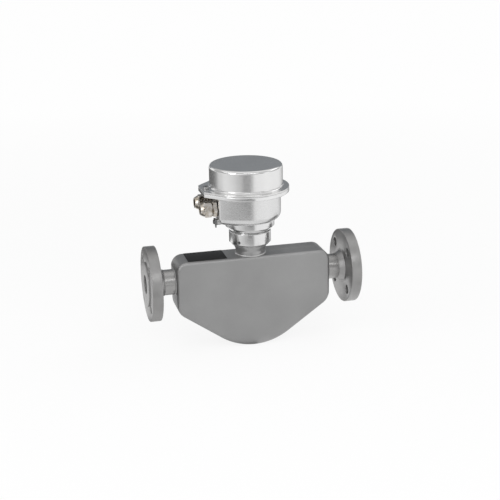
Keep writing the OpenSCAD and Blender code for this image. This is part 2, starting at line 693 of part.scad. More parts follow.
// --- electronics ---------------------------------------------------------
module at_posts() for (a = post_angles)
    at_housing() translate([post_circle * cos(a), post_circle * sin(a), 0]) children();
module module_posts() color("silver") at_posts() difference() {
    translate([0, 0, floor_z]) cylinder(r = 4, h = post_h, $fn = 6);
    translate([0, 0, floor_z + 3]) cylinder(r = 2, h = post_h, $fn = 24);
}
module module_disc(r, z, h) intersection() {
    at_housing() translate([0, 0, z]) cylinder(r = r, h = h);
    translate([mid_x - module_flat_x, -bowl_d, z - 1]) cube([2 * bowl_d, 2 * bowl_d, h + 2]);
}
module electronics_module() color([0.13, 0.14, 0.16]) difference() {
    union() {
        module_disc(post_circle + foot_rim, module_z0, foot_t);
        module_disc(module_d / 2 - foot_ledge, module_z0, module_h);
    }
    at_posts() {
        translate([0, 0, module_z0 - 1]) cylinder(r = 2.2, h = foot_t + 2, $fn = 24);
        translate([0, 0, module_z0 + foot_t]) cylinder(r = 5.5, h = module_h, $fn = 32);
    }
    for (i = [0 : 4]) translate([housing_x + 6, -20 + 10 * i - 2, module_z1 - 2]) cube([18, 4, 4]);
}
module module_screws() color("silver") at_posts() difference() {
    union() {
        translate([0, 0, floor_z + 4]) cylinder(r = 2, h = module_z0 + foot_t - floor_z - 4, $fn = 24);
        translate([0, 0, module_z0 + foot_t]) cylinder(r = 3.5, h = 3, $fn = 24);
    }
    translate([0, 0, module_z0 + foot_t + 1.4]) cylinder(r = 1.7, h = 4, $fn = 6);
}

// Wire terminals on the module's flat side: a way in and a clamp screw for each
module terminal_block() color([0.25, 0.42, 0.30]) difference() {
    translate([mid_x - module_flat_x - terminal_depth, -terminal_w / 2, module_z0 + 13])
        cube([terminal_depth, terminal_w, terminal_h]);
    for (i = [0 : terminal_count - 1])
        translate([mid_x - module_flat_x, (i + 0.5) * terminal_w / terminal_count - terminal_w / 2, module_z0 + 13]) {
            translate([-terminal_depth - 1, 0, 5]) rotate([0, 90, 0]) cylinder(r = 1.6, h = 8, $fn = 24);
            translate([-terminal_depth / 2, 0, terminal_h - 3]) cylinder(r = 2, h = 4, $fn = 24);
        }
}
module sensor_plug() color([0.85, 0.85, 0.80]) at_neck() translate([-9, -7, module_z0 - plug_h]) cube([18, 14, plug_h]);

// --- ground terminal -----------------------------------------------------
module ground_axis(x) translate([0, ground_y, ground_z]) against_x(x) children();
module ground_boss() color(steel) difference() {
    ground_axis(pad_face + 6) cylinder(r = boss_r, h = pad_face + 6 - boss_face, $fn = 48);
    ground_axis(ground_hole_x) cylinder(r = ground_screw_r, h = 20, $fn = 32);
}
module ground_washer() color("silver") ground_axis(boss_face) difference() {
    cylinder(r = 4.6, h = washer_t, $fn = 48);
    translate([0, 0, -1]) cylinder(r = ground_screw_r + 0.2, h = 5, $fn = 32);
}
// Stamped clamp with its side lips and a tail that hangs down
module ground_clamp() color([0.4, 0.4, 0.41]) ground_axis(boss_face - washer_t) difference() {
    union() {
        translate([-4.5, -4.5, 0]) cube([9, 9, clamp_t]);
        translate([-9, -1.6, 0]) cube([5, 3.2, clamp_t]);
        for (y = [-4.5, 3.3]) translate([-4.5, y, 0]) cube([9, 1.2, clamp_t + 1.6]);
    }
    translate([0, 0, -1]) cylinder(r = ground_screw_r + 0.2, h = 5, $fn = 32);
}
module ground_screw() color([0.45, 0.45, 0.46]) ground_axis(ground_screw_x) difference() {
    head = ground_screw_x - boss_face + washer_t + clamp_t;
    union() {
        cylinder(r = ground_screw_r - turn_play, h = head, $fn = 32);
        translate([0, 0, head]) cylinder(r = 3.2, h = 3, $fn = 32);
    }
    translate([-4, -0.5, head + 1.8]) cube([8, 1, 3]);
}

inlet_flange();
outlet_flange();
inlet_manifold();
outlet_manifold();
support_beam();
brace_plates();
temperature_sensor();
front_measuring_tube();
rear_measuring_tube();
front_tube_brackets();
rear_tube_brackets();
drive_coil();
pickoff_coils();
drive_magnet();
pickoff_magnets();
casing_front_shell();
casing_rear_shell();
nameplate();
neck();
socket_ring();
lock_screw();
feedthrough();
coil_leads();
sensor_cable();
housing_collar();
turn_seal();
housing_bowl();
housing_flange();
entry_plate();
cover_seal();
cover();
cover_screw();
front_gland_body();
rear_gland_body();
front_gland_seal();
rear_gland_seal();
front_gland_insert();
rear_gland_insert();
front_gland_nut();
rear_gland_nut();
module_posts();
electronics_module();
module_screws();
terminal_block();
sensor_plug();
ground_boss();
ground_clamp();
ground_washer();
ground_screw();
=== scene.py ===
"""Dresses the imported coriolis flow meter: fine meshes, metal finishes, studio and camera."""
import logging
import math
from dataclasses import dataclass
from enum import Enum
from typing import Callable, Mapping, Sequence, Union

import bmesh
import bpy
from mathutils import Matrix, Vector


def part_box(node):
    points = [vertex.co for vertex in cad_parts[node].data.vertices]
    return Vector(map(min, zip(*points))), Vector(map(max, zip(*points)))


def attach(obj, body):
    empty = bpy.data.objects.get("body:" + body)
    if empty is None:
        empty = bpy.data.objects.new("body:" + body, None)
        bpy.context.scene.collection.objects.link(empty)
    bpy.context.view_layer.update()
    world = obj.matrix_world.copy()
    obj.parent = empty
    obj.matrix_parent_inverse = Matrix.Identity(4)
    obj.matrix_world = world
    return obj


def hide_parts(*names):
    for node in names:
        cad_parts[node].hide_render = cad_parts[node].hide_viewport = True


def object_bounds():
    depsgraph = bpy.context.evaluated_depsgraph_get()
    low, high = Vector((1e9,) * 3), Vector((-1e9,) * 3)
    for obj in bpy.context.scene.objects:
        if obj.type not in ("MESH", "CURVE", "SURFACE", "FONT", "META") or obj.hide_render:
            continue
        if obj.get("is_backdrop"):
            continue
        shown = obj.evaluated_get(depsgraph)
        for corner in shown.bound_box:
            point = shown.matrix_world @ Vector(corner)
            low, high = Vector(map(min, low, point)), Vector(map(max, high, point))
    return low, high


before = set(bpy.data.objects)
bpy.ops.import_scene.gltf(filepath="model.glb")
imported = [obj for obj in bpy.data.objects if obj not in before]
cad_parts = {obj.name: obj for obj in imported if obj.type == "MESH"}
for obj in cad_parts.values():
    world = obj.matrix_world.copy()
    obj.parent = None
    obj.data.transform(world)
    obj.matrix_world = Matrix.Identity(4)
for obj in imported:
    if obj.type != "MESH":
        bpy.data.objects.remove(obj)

LOG = logging.getLogger("flow_meter")
MM = 0.001
# Millimetres below which two points are one
TINY = 1e-5
# Largest share of a side that one fillet takes
FILLET_REACH = 0.48
# Turns, in degrees, at which a plate's rounded edge has a ring
EDGE_TURNS = (90, 60, 30, 0)
# Segments of a hole, of a wide one, and the radius at which a hole is wide
HOLE_STEPS = 32
WIDE_STEPS = 64
WIDE_HOLE = 12.0
# Segments of a weld bead round its joint and round its own section
BEAD_STEPS = 288
BEAD_SIDES = 10
# Share of a bead that its ripples take
BEAD_DEPTH = 0.09
# Segments of a thread's turn and of its ridge, and the ridge's share of the pitch
THREAD_STEPS = 32
THREAD_SIDES = 6
RIDGE_SHARE = 0.42
# Metres that a radian of turn counts for in a pattern of tool lines
TURN_LENGTH = 0.004
Loop = list[tuple[float, float]]
Section = Callable[[float], Loop]
Bow = tuple[float, float, tuple[float, float, float]]


class Side(Enum):
    """Which end of the pipe, or which cable gland, a piece belongs to."""

    INLET = "inlet"
    OUTLET = "outlet"
    FRONT = "front"
    REAR = "rear"


# --- places --------------------------------------------------------------
@dataclass(frozen=True)
class Span:
    """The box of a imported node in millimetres."""

    low: Vector
    high: Vector

    @property
    def centre(self) -> Vector:
        """Middle of the box."""
        return (self.low + self.high) / 2

    @property
    def size(self) -> Vector:
        """Lengths of the box's sides."""
        return self.high - self.low


def span(node: str) -> Span:
    """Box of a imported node, in millimetres."""
    low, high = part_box(node)
    return Span(Vector(low) / MM, Vector(high) / MM)


def along(origin: Vector, direction: Vector, side: Vector) -> Matrix:
    """Makes a frame whose Z axis runs along a direction.

    Args:
        origin: Where the frame's origin goes.
        direction: Where its Z axis points.
        side: Where its X axis points, square to the direction.

    Returns:
        The matrix from the frame to the object's axes.
    """
    z, x = direction.normalized(), side.normalized()
    turn = Matrix((x, z.cross(x), z)).transposed().to_4x4()
    return Matrix.Translation(origin) @ turn


def bearing(azimuth: float, elevation: float = 0.0) -> Vector:
    """Direction from the object in degrees; an azimuth of 0 is in front, 90 on the right."""
    az, el = math.radians(azimuth), math.radians(elevation)
    return Vector((math.sin(az) * math.cos(el), -math.cos(az) * math.cos(el), math.sin(el)))


# --- meshes --------------------------------------------------------------
def rounded(corners: Sequence[tuple[float, float, float]], steps: int = 5) -> Loop:
    """Rounds the corners of a closed loop.

    Args:
        corners: Radius, height and fillet radius of each corner.
        steps: Segments of each fillet.

    Returns:
        The loop with its fillets as points.
    """
    loop: Loop = []
    count = len(corners)
    for i, (x, y, r) in enumerate(corners):
        here = Vector((x, y))
        before = Vector(corners[i - 1][:2]) - here
        after = Vector(corners[(i + 1) % count][:2]) - here
        if r <= 0 or before.length < TINY or after.length < TINY:
            loop.append((x, y))
            continue
        half = before.angle(after) / 2
        reach = min(r / math.tan(half), before.length * FILLET_REACH, after.length * FILLET_REACH)
        r = reach * math.tan(half)
        bisector = (before.normalized() + after.normalized()).normalized()
        centre = here + bisector * (r / math.sin(half))
        start = here + before.normalized() * reach - centre
        end = here + after.normalized() * reach - centre
        sweep = start.angle_signed(end)
        for k in range(steps + 1):
            p = start.copy()
            p.rotate(Matrix.Rotation(-sweep * k / steps, 2))
            loop.append(tuple(centre + p))
    return loop


def arc(x: float, y: float, r: float, start: float, stop: float, steps: int) -> Loop:
    """Points of an arc about (x, y), both ends among them, from start to stop in degrees."""
    turns = [math.radians(start + (stop - start) * k / steps) for k in range(steps + 1)]
    return [(x + r * math.cos(t), y + r * math.sin(t)) for t in turns]


def hex_radius(flats: float, angle: float) -> float:
    """Distance from a hexagon's axis to its side, at an angle from the middle of a flat."""
    step = math.pi / 3
    return flats / 2 / math.cos((angle + step / 2) % step - step / 2)


class Shells:
    """Gathers closed shells, in millimetres, into one piece's mesh."""

    def __init__(self) -> None:
        """Starts an empty mesh."""
        self.bm = bmesh.new()

    def ring(self, points: Sequence[Vector], place: Matrix) -> list[bmesh.types.BMVert]:
        """Adds one loop of points, which are in the frame of place."""
        return [self.bm.verts.new(place @ p) for p in points]

    def skin(self, rings: Sequence[list[bmesh.types.BMVert]], closed: bool) -> None:
        """Joins neighbouring rings with faces.

        Args:
            rings: Rings with the same number of vertices, or one vertex for a pole.
            closed: Whether the last ring joins the first one.
        """
        pairs = list(zip(rings, rings[1:])) + ([(rings[-1], rings[0])] if closed else [])
        for a, b in pairs:
            n = max(len(a), len(b))
            for i in range(n):
                j = (i + 1) % n
                corners = (a[i % len(a)], a[j % len(a)], b[j % len(b)], b[i % len(b)])
                face = list(dict.fromkeys(corners))
                if len(face) > 2:
                    self.bm.faces.new(face)

    def turned(self, section: Union[Loop, Section], place: Matrix, count: int = 96) -> None:
        """Turns a closed section about the frame's Z axis.

        Args:
            section: Radius and height points, or a function of the angle that gives them.
            place: Frame whose Z axis is the axis of turning.
            count: Steps of the turn.
        """
        shape = section if callable(section) else (lambda _: section)
        columns = []
        for i in range(count):
            angle = 2 * math.pi * i / count
            c, s = math.cos(angle), math.sin(angle)
            columns.append([Vector((r * c, r * s, z)) for r, z in shape(angle)])
        rings = []
        for row in zip(*columns):
            on_axis = all(p.xy.length < TINY for p in row)
            rings.append(self.ring(row[:1] if on_axis else row, place))
        self.skin(rings, closed=len(rings[0]) > 1 or len(rings[-1]) > 1)

    def lofted(self, rings: Sequence[Sequence[Vector]], place: Matrix,
               closed: bool = False) -> None:
        """Skins loops of points, and caps the ends of an open row of loops.

        Args:
            rings: Loops with the same number of points.
            place: Frame that the points are in.
            closed: Whether the last loop joins the first one.
        """
        made = [self.ring(r, place) for r in rings]
        self.skin(made, closed)
        if not closed:
            self.bm.faces.new(made[0])
            self.bm.faces.new(list(reversed(made[-1])))

    def plate(self, outline: Callable[[float], Loop], holes: Sequence[tuple[float, float, float]],
              low: float, high: float, edge: float, place: Matrix) -> None:
        """Adds a flat plate with rounded edges and round holes.

        Args:
            outline: Gives the outer loop for an inset.
            holes: Centre and radius of each hole.
            low: Height of the lower face.
            high: Height of the upper face.
            edge: Radius of the edges.
            place: Frame that the plate lies in.
        """
        steps = [math.radians(a) for a in EDGE_TURNS]
        levels = [(edge * (1 - math.cos(a)), low + edge * (1 - math.sin(a))) for a in steps]
        levels += [(inset, low + high - z) for inset, z in reversed(levels)]
        ends: list[list[bmesh.types.BMEdge]] = [[], []]
        loops: list[Callable[[float], Loop]] = [outline]
        for x, y, r in holes:
            count = WIDE_STEPS if r > WIDE_HOLE else HOLE_STEPS
            loops.append(lambda inset, x=x, y=y, r=r, n=count: disc_hull([(x, y, r + inset)], n))
        for loop in loops:
            rings = [self.ring([Vector((x, y, z)) for x, y in loop(inset)], place)
                     for inset, z in levels]
            self.skin(rings, closed=False)
            for end, ring in zip(ends, (rings[0], rings[-1])):
                for i, vert in enumerate(ring):
                    end.append(self.bm.edges.get((vert, ring[(i + 1) % len(ring)])))
        for end in ends:
            bmesh.ops.triangle_fill(self.bm, use_beauty=True, edges=end)

    def object(self, name: str, sharp: float = 35) -> bpy.types.Object:
        """Makes the object of the gathered shells.

        Args:
            name: Name of the piece.
            sharp: Angle above which an edge stays sharp, in degrees.

        Returns:
            The object, at the origin and in metres.
        """
        bmesh.ops.scale(self.bm, vec=(MM, MM, MM), verts=self.bm.verts)
        bmesh.ops.recalc_face_normals(self.bm, faces=self.bm.faces)
        mesh = bpy.data.meshes.new(name)
        self.bm.to_mesh(mesh)
        self.bm.free()
        mesh.shade_smooth()
        mesh.set_sharp_from_angle(angle=math.radians(sharp))
        piece = bpy.data.objects.new(name, mesh)
        bpy.context.scene.collection.objects.link(piece)
        return piece


def disc_hull(discs: Sequence[tuple[float, float, float]], count: int,
              wall: float = -math.inf, bows: Sequence[Bow] = ()) -> Loop:
    """Outline of the convex hull of some discs.

    Args:
        discs: Centre and radius of each disc.
        count: Points of the outline.
        wall: Lowest X that the outline may reach.
        bows: Wide arcs that take the place of a straight side.

    Returns:
        The outline's points, anticlockwise.
    """
    loop: Loop = []
    for i in range(count):
        angle = 2 * math.pi * i / count
        nx, ny = math.cos(angle), math.sin(angle)
        x, y, r = max(discs, key=lambda d: d[0] * nx + d[1] * ny + d[2])
        for start, stop, disc in bows:
            if start < angle < stop:
                x, y, r = disc
        loop.append((max(x + r * nx, wall), y + r * ny))
    return loop


def cut(piece: bpy.types.Object, cutter: Shells, sharp: float = 30) -> None:
    """Takes a cutter's shells out of a piece.

    Args:
        piece: The piece to cut.
        cutter: Shells of the hole.
        sharp: Angle above which an edge stays sharp, in degrees.
    """
    tool = cutter.object("cutter")
    mod = piece.modifiers.new("hole", "BOOLEAN")
    mod.operation, mod.solver, mod.object = "DIFFERENCE", "EXACT", tool
    bake(piece)
    bpy.data.objects.remove(tool)
    piece.data.set_sharp_from_angle(angle=math.radians(sharp))


def bake(piece: bpy.types.Object) -> None:
    """Turns a piece's modifiers into plain mesh.

    Args:
        piece: The piece, whose modifiers are removed.
    """
    bpy.context.view_layer.update()
    graph = bpy.context.evaluated_depsgraph_get()
    mesh = bpy.data.meshes.new_from_object(piece.evaluated_get(graph))
    piece.modifiers.clear()
    piece.data = mesh
    mesh.name = piece.name


# --- nodes ---------------------------------------------------------------
class Wire:
    """A node's output that takes part in sums."""

    def __init__(self, nodes: "Nodes", socket: bpy.types.NodeSocket) -> None:
        """Wraps an output of a tree's node."""
        self.nodes, self.socket = nodes, socket

    def _math(self, operation: str, a: object, b: object) -> "Wire":
        """Adds a Math node to the tree."""
        return self.nodes.wire("ShaderNodeMath", {0: a, 1: b}, operation=operation)

    def __add__(self, other: object) -> "Wire":
        """self + other"""
        return self._math("ADD", self, other)

    __radd__ = __add__

    def __rsub__(self, other: object) -> "Wire":
        """other - self"""
        return self._math("SUBTRACT", other, self)

    def __mul__(self, other: object) -> "Wire":
        """self * other"""
        return self._math("MULTIPLY", self, other)

    __rmul__ = __mul__

    def __pow__(self, other: object) -> "Wire":
        """self ** other"""
        return self._math("POWER", self, other)


class Nodes:
    """A node tree and the one way to add to it."""

    prefix = "ShaderNode"

    def __init__(self, tree: bpy.types.NodeTree) -> None:
        """Takes a tree and empties it."""
        self.tree = tree
        tree.nodes.clear()

    def node(self, kind: str, inputs: Mapping[Union[str, int], object] = {},
             **settings: object) -> bpy.types.Node:
        """Adds a node.

        Args:
            kind: Type of the node, without the tree's own prefix.
            inputs: Values or wires of its inputs.
            **settings: Properties that are set first; stops sets a ramp's stops.

        Returns:
            The node.
        """
        made = self.tree.nodes.new(kind if kind.startswith("Shader") else self.prefix + kind)
        stops = settings.pop("stops", None)
        for key, value in settings.items():
            setattr(made, key, value)
        for i, (place, value) in enumerate(stops or ()):
            ramp = made.color_ramp.elements
            stop = ramp[i] if i < len(ramp) else ramp.new(place)
            stop.position, stop.color = place, (value, value, value, 1)
        for key, value in inputs.items():
            if isinstance(value, Wire):
                self.tree.links.new(value.socket, made.inputs[key])
            else:
                made.inputs[key].default_value = value
        return made

    def wire(self, kind: str, inputs: Mapping[Union[str, int], object] = {},
             output: Union[str, int] = 0, **settings: object) -> Wire:
        """Adds a node as node() does and wraps one of its outputs."""
        return Wire(self, self.node(kind, inputs, **settings).outputs[output])


class Tree(Nodes):
    """A Geometry Nodes tree with named inputs for its sizes."""

    prefix = "GeometryNode"

    def __init__(self, name: str, inputs: Mapping[str, float]) -> None:
        """Starts the tree.

        Args:
            name: Name of the tree.
            inputs: Named sizes with their values.
        """
        super().__init__(bpy.data.node_groups.new(name, "GeometryNodeTree"))
        self.values = dict(inputs)
        face = self.tree.interface
        face.new_socket("Geometry", in_out="OUTPUT", socket_type="NodeSocketGeometry")
        self.sockets = {}
        for label in inputs:
            self.sockets[label] = face.new_socket(
                label, in_out="INPUT", socket_type="NodeSocketFloat")
        self.material = face.new_socket(
            "Material", in_out="INPUT", socket_type="NodeSocketMaterial")
        self.source = self.tree.nodes.new("NodeGroupInput")

    def given(self, label: str) -> Wire:
        """Wire of a named input."""
        return Wire(self, self.source.outputs[label])

    def circle(self, steps: int, label: str) -> Wire:
        """Curve of a circle with a named size as its radius."""
        return self.wire("CurvePrimitiveCircle",
                         {"Resolution": steps, "Radius": self.given(label)})

    def run(self, name: str, geometry: Wire, place: Matrix,
            material: bpy.types.Material) -> bpy.types.Object:
        """Ends the tree and makes the piece of it.

        Args:
            name: Name of the piece.
            geometry: The finished geometry, in the frame's millimetres.
            place: Frame that the geometry is made in.
            material: Finish of the piece.

        Returns:
            The piece as a plain mesh.
        """
        scaled = Matrix.Diagonal((MM, MM, MM, 1)) @ place
        moved = self.wire("Transform", {
            "Geometry": geometry, "Translation": scaled.to_translation(),
            "Rotation": place.to_euler(), "Scale": (MM, MM, MM)})
        real = self.wire("RealizeInstances", {"Geometry": moved})
        dressed = self.wire("SetMaterial", {"Geometry": real, "Material": self.given("Material")})
        sink = self.tree.nodes.new("NodeGroupOutput")
        self.tree.links.new(dressed.socket, sink.inputs[0])
        piece = bpy.data.objects.new(name, bpy.data.meshes.new(name))
        bpy.context.scene.collection.objects.link(piece)
        mod = piece.modifiers.new("tree", "NODES")
        mod.node_group = self.tree
        for label, value in self.values.items():
            mod[self.sockets[label].identifier] = float(value)
        mod[self.material.identifier] = material
        bake(piece)
        piece.data.shade_smooth()
        return piece


def weld_bead(name: str, radius: float, bead: float, ripples: float, place: Matrix,
              material: bpy.types.Material) -> bpy.types.Object:
    """A rippled weld bead round a joint.

    Args:
        name: Name of the piece.
        radius: Radius of the bead's middle line.
        bead: Half width of the bead.
        ripples: Number of ripples round the joint.
        place: Frame of the joint; its Z axis is the joint's axis.
        material: Finish of the bead.

    Returns:
        The bead's piece.
    """
    tree = Tree("weld_bead", {"Radius": radius, "Bead": bead, "Ripples": ripples,
                              "Depth": BEAD_DEPTH})
    path = tree.circle(BEAD_STEPS, "Radius")
    shape = tree.circle(BEAD_SIDES, "Bead")
    turns = tree.wire("SplineParameter", output="Factor") * tree.given("Ripples")
    sine = tree.wire("ShaderNodeMath", {0: turns * math.pi}, operation="SINE")
    wave = tree.wire("ShaderNodeMath", {0: sine}, operation="ABSOLUTE")
    swell = 1 - tree.given("Depth") * (1 - wave)
    mesh = tree.wire("CurveToMesh", {"Curve": path, "Profile Curve": shape, "Scale": swell})
    return tree.run(name, mesh, place, material)


def thread(name: str, radius: float, length: float, pitch: float, place: Matrix,
           material: bpy.types.Material) -> bpy.types.Object:
    """The ridge of a screw thread on a plain shank.

    Args:
        name: Name of the piece.
        radius: Radius of the ridge's middle line.
        length: Length of the thread.
        pitch: Rise of each turn.
        place: Frame of the shank; its Z axis is the screw's axis.
        material: Finish of the thread.

    Returns:
        The thread's piece.
    """
    tree = Tree("thread", {"Radius": radius, "Length": length, "Turns": length / pitch,
                           "Ridge": pitch * RIDGE_SHARE})
    coil = tree.wire("CurveSpiral", {
        "Resolution": THREAD_STEPS, "Rotations": tree.given("Turns"),
        "Start Radius": tree.given("Radius"), "End Radius": tree.given("Radius"),
        "Height": tree.given("Length")})
    shape = tree.circle(THREAD_SIDES, "Ridge")
    mesh = tree.wire("CurveToMesh", {"Curve": coil, "Profile Curve": shape, "Fill Caps": True})
    return tree.run(name, mesh, place, material)


# --- finishes ------------------------------------------------------------
class Graph(Nodes):
    """The node graph of a material or of the world."""

    def __init__(self, owner: Union[str, bpy.types.World]) -> None:
        """Starts the graph.

        Args:
            owner: Name of a new material, or the world.
        """
        self.material = bpy.data.materials.new(owner) if isinstance(owner, str) else owner
        self.material.use_nodes = True
        super().__init__(self.material.node_tree)

    def place(self) -> Wire:
        """Object coordinates, in metres."""
        return self.wire("TexCoord", output="Object")

    def noise(self, vector: Wire, scale: float, detail: float = 3, rough: float = 0.5) -> Wire:
        """Noise from 0 to 1, read at the vector, with scale waves for each metre."""
        return self.wire("TexNoise", {"Vector": vector, "Scale": scale, "Detail": detail,
                                      "Roughness": rough}, output="Fac")

    def spread(self, value: Wire, low: float, high: float, start: float = 0.3,
               stop: float = 0.7) -> Wire:
        """Maps a noise between start and stop to the range from low to high."""
        return self.wire("MapRange", {"Value": value, "From Min": start, "From Max": stop,
                                      "To Min": low, "To Max": high}, output="Result")

    def blend(self, factor: Wire, a: Union[tuple, Wire], b: tuple) -> Wire:
        """Blends colour a with as much of colour b as the factor says."""
        return self.wire("Mix", {0: factor, 6: a, 7: b}, output=2, data_type="RGBA")

    def rings(self, centre: tuple[float, float, float], axis: int, radial: float) -> Wire:
        """Coordinates for lines that run round an axis.

        Args:
            centre: A point of the axis, in metres.
            axis: Which axis the lines run round: 0 for X, 2 for Z.
            radial: Share of the distance from the axis; a low one keeps flat walls' lines long.

        Returns:
            Distance from the axis, place along it and turn round it, as a vector.
        """
        shifted = self.wire("VectorMath", {0: self.place(), 1: centre}, operation="SUBTRACT")
        parts = self.node("SeparateXYZ", {0: shifted}).outputs
        u, v = [Wire(self, parts[i]) for i in range(3) if i != axis]
        away = (u * u + v * v) ** 0.5 * radial
        turn = self.wire("Math", {0: v, 1: u}, operation="ARCTAN2") * TURN_LENGTH
        return self.wire("CombineXYZ", {0: away, 1: Wire(self, parts[axis]), 2: turn})

    def seen(self) -> Wire:
        """Tells looking from lighting.

        Returns:
            1 or more to the camera, to reflections and through glass, else 0.
        """
        path = self.node("LightPath").outputs
        camera, glossy, clear = (Wire(self, path[f"Is {ray} Ray"])
                                 for ray in ("Camera", "Glossy", "Transmission"))
        return camera + glossy + clear

    def glow(self, colour: Union[tuple, Wire], strength: float = 1.0) -> bpy.types.Material:
        """Ends the graph as a plain glow.

        Args:
            colour: Its colour.
            strength: Its strength; 1 is white to the eye.

        Returns:
            The material.
        """
        light = self.wire("Emission", {"Color": colour, "Strength": strength})
        self.node("OutputMaterial", {"Surface": light})
        return self.material

    def tones(self, cloud: Wire, grey: float, stain: float, warm: float, fade: float) -> Wire:
        """A grey that wanders by its stain from a warm dark shade to a light one of less warmth."""
        return self.blend(self.spread(cloud, 0, 1), rgb(grey * (1 - stain), warm),
                          rgb(grey * (1 + stain), warm * fade))

    def finish(self, height: Wire, depth: float, **shader: object) -> bpy.types.Material:
        """Ends the graph with its surface shader.

        Args:
            height: Height of the fine relief.
            depth: Depth of the relief in metres.
            **shader: Sockets of the surface shader; _ stands for a space.

        Returns:
            The material.
        """
        bump = self.wire("Bump", {"Height": height, "Strength": 1.0, "Distance": depth},
                         output="Normal")
        inputs = {key.replace("_", " "): value for key, value in shader.items()}
        surface = self.wire("BsdfPrincipled", {**inputs, "Normal": bump})
        self.node("OutputMaterial", {"Surface": surface})
        return self.material


def rgb(value: float, warm: float = 0.0) -> tuple[float, float, float, float]:
    """A grey with alpha; warm says how far red rises and blue falls."""
    return (value * (1 + warm), value, value * (1 - warm), 1.0)


@dataclass(frozen=True)
class BlastedSteel:
    """Bead blasted stainless sheet, with soft stains from handling."""

    name: str
    grey: float
    rough: float
    warm: float = 0.0
    stain: float = 0.07
    grain: float = 2600.0
    depth: float = 0.000012
    pit: float = 0.78

    def make(self) -> bpy.types.Material:
        """Builds the material.

        Returns:
            The material.
        """
        g = Graph(self.name)
        place = g.place()
        cloud = g.noise(place, 14, 4, 0.6)
        grain = g.noise(place, self.grain, 2, 0.6)
        tone = g.tones(cloud, self.grey, self.stain, self.warm, 0.4)
        colour = g.blend(g.spread(grain, 0, 0.35, 0.42, 0.6), tone, rgb(self.grey * self.pit))
        rough = g.spread(cloud, self.rough - 0.03, self.rough + 0.05) + 0.06 * grain
        return g.finish(grain, self.depth, Base_Color=colour, Roughness=rough, Metallic=1.0)


@dataclass(frozen=True)
class TurnedSteel:
    """Stainless steel with fine tool or polishing lines round an axis."""

    name: str
    grey: float
    rough: float
    centre: tuple[float, float, float]
    axis: int = 2
    lines: float = 1500.0
    depth: float = 0.000003
    warm: float = 0.0
    stain: float = 0.035
    radial: float = 1.0
    groove: float = 0.82

    def make(self) -> bpy.types.Material:
        """Builds the material.

        Returns:
            The material.
        """
        g = Graph(self.name)
        rings = g.rings(self.centre, self.axis, self.radial)
        lines = g.noise(rings, self.lines, 3, 0.7)
        cloud = g.noise(g.place(), 22, 3)
        tone = g.tones(cloud, self.grey, self.stain, self.warm, 0.5)
        colour = g.blend(g.spread(lines, 0, 0.25), tone, rgb(self.grey * self.groove, self.warm))
        rough = g.spread(lines, self.rough * 0.8, self.rough * 1.25) + 0.05 * cloud
        return g.finish(lines, self.depth, Base_Color=colour, Roughness=rough, Metallic=1.0)


@dataclass(frozen=True)
class NickelBrass:
    """Nickel plated brass with warm worn places."""

    name: str = "nickel_plated_brass"
    grey: float = 0.70
    worn: tuple[float, float, float] = (0.58, 0.50, 0.39)
    depth: float = 0.000004

    def make(self) -> bpy.types.Material:
        """Builds the material.

        Returns:
            The material.
        """
        g = Graph(self.name)
        cloud = g.noise(g.place(), 160, 4, 0.6)
        fine = g.noise(g.place(), 1800, 2)
        worn = tuple(self.grey * share for share in self.worn) + (1.0,)
        colour = g.blend(g.spread(cloud, 0, 1, 0.35, 0.65), rgb(self.grey, 0.04), worn)
        rough = g.spread(cloud, 0.05, 0.13) + 0.04 * fine
        return g.finish(fine, self.depth, Base_Color=colour, Roughness=rough, Metallic=1.0)


@dataclass(frozen=True)
class Moulded:
    """Moulded plastic, rubber or a dull coating."""

    name: str
    colour: tuple[float, float, float]
    rough: float
    grain: float = 900.0
    depth: float = 0.00002
    shine: float = 0.5

    def make(self) -> bpy.types.Material:
        """Builds the material.

        Returns:
            The material.
        """
        g = Graph(self.name)
        cloud = g.noise(g.place(), 40, 3)
        grain = g.noise(g.place(), self.grain, 3)
        dark = tuple(c * 0.82 for c in self.colour) + (1.0,)
        light = tuple(min(1.0, c * 1.12 + 0.004) for c in self.colour) + (1.0,)
        colour = g.blend(g.spread(cloud, 0, 1), dark, light)
        rough = g.spread(grain, self.rough - 0.06, self.rough + 0.06)
        return g.finish(grain, self.depth, Base_Color=colour, Roughness=rough, Metallic=0.0,
                        Specular_IOR_Level=self.shine)


@dataclass(frozen=True)
class Wound:
    """Varnished copper wire, wound round Y."""

    name: str = "varnished_copper"
    dark: tuple[float, float, float, float] = (0.50, 0.20, 0.07, 1)
    light: tuple[float, float, float, float] = (0.72, 0.36, 0.16, 1)
    turns: float = 9000.0
    depth: float = 0.00008

    def make(self) -> bpy.types.Material:
        """Builds the material.

        Returns:
            The material.
        """
        g = Graph(self.name)
        parts = g.node("SeparateXYZ", {0: g.place()}).outputs
        turns = g.wire("Math", {0: Wire(g, parts[1]) * self.turns}, operation="SINE")
        cloud = g.noise(g.place(), 300, 2)
        colour = g.blend(g.spread(cloud, 0, 1), self.dark, self.light)
        return g.finish(turns, self.depth, Base_Color=colour, Roughness=0.3, Metallic=1.0,
                        Coat_Weight=0.5)


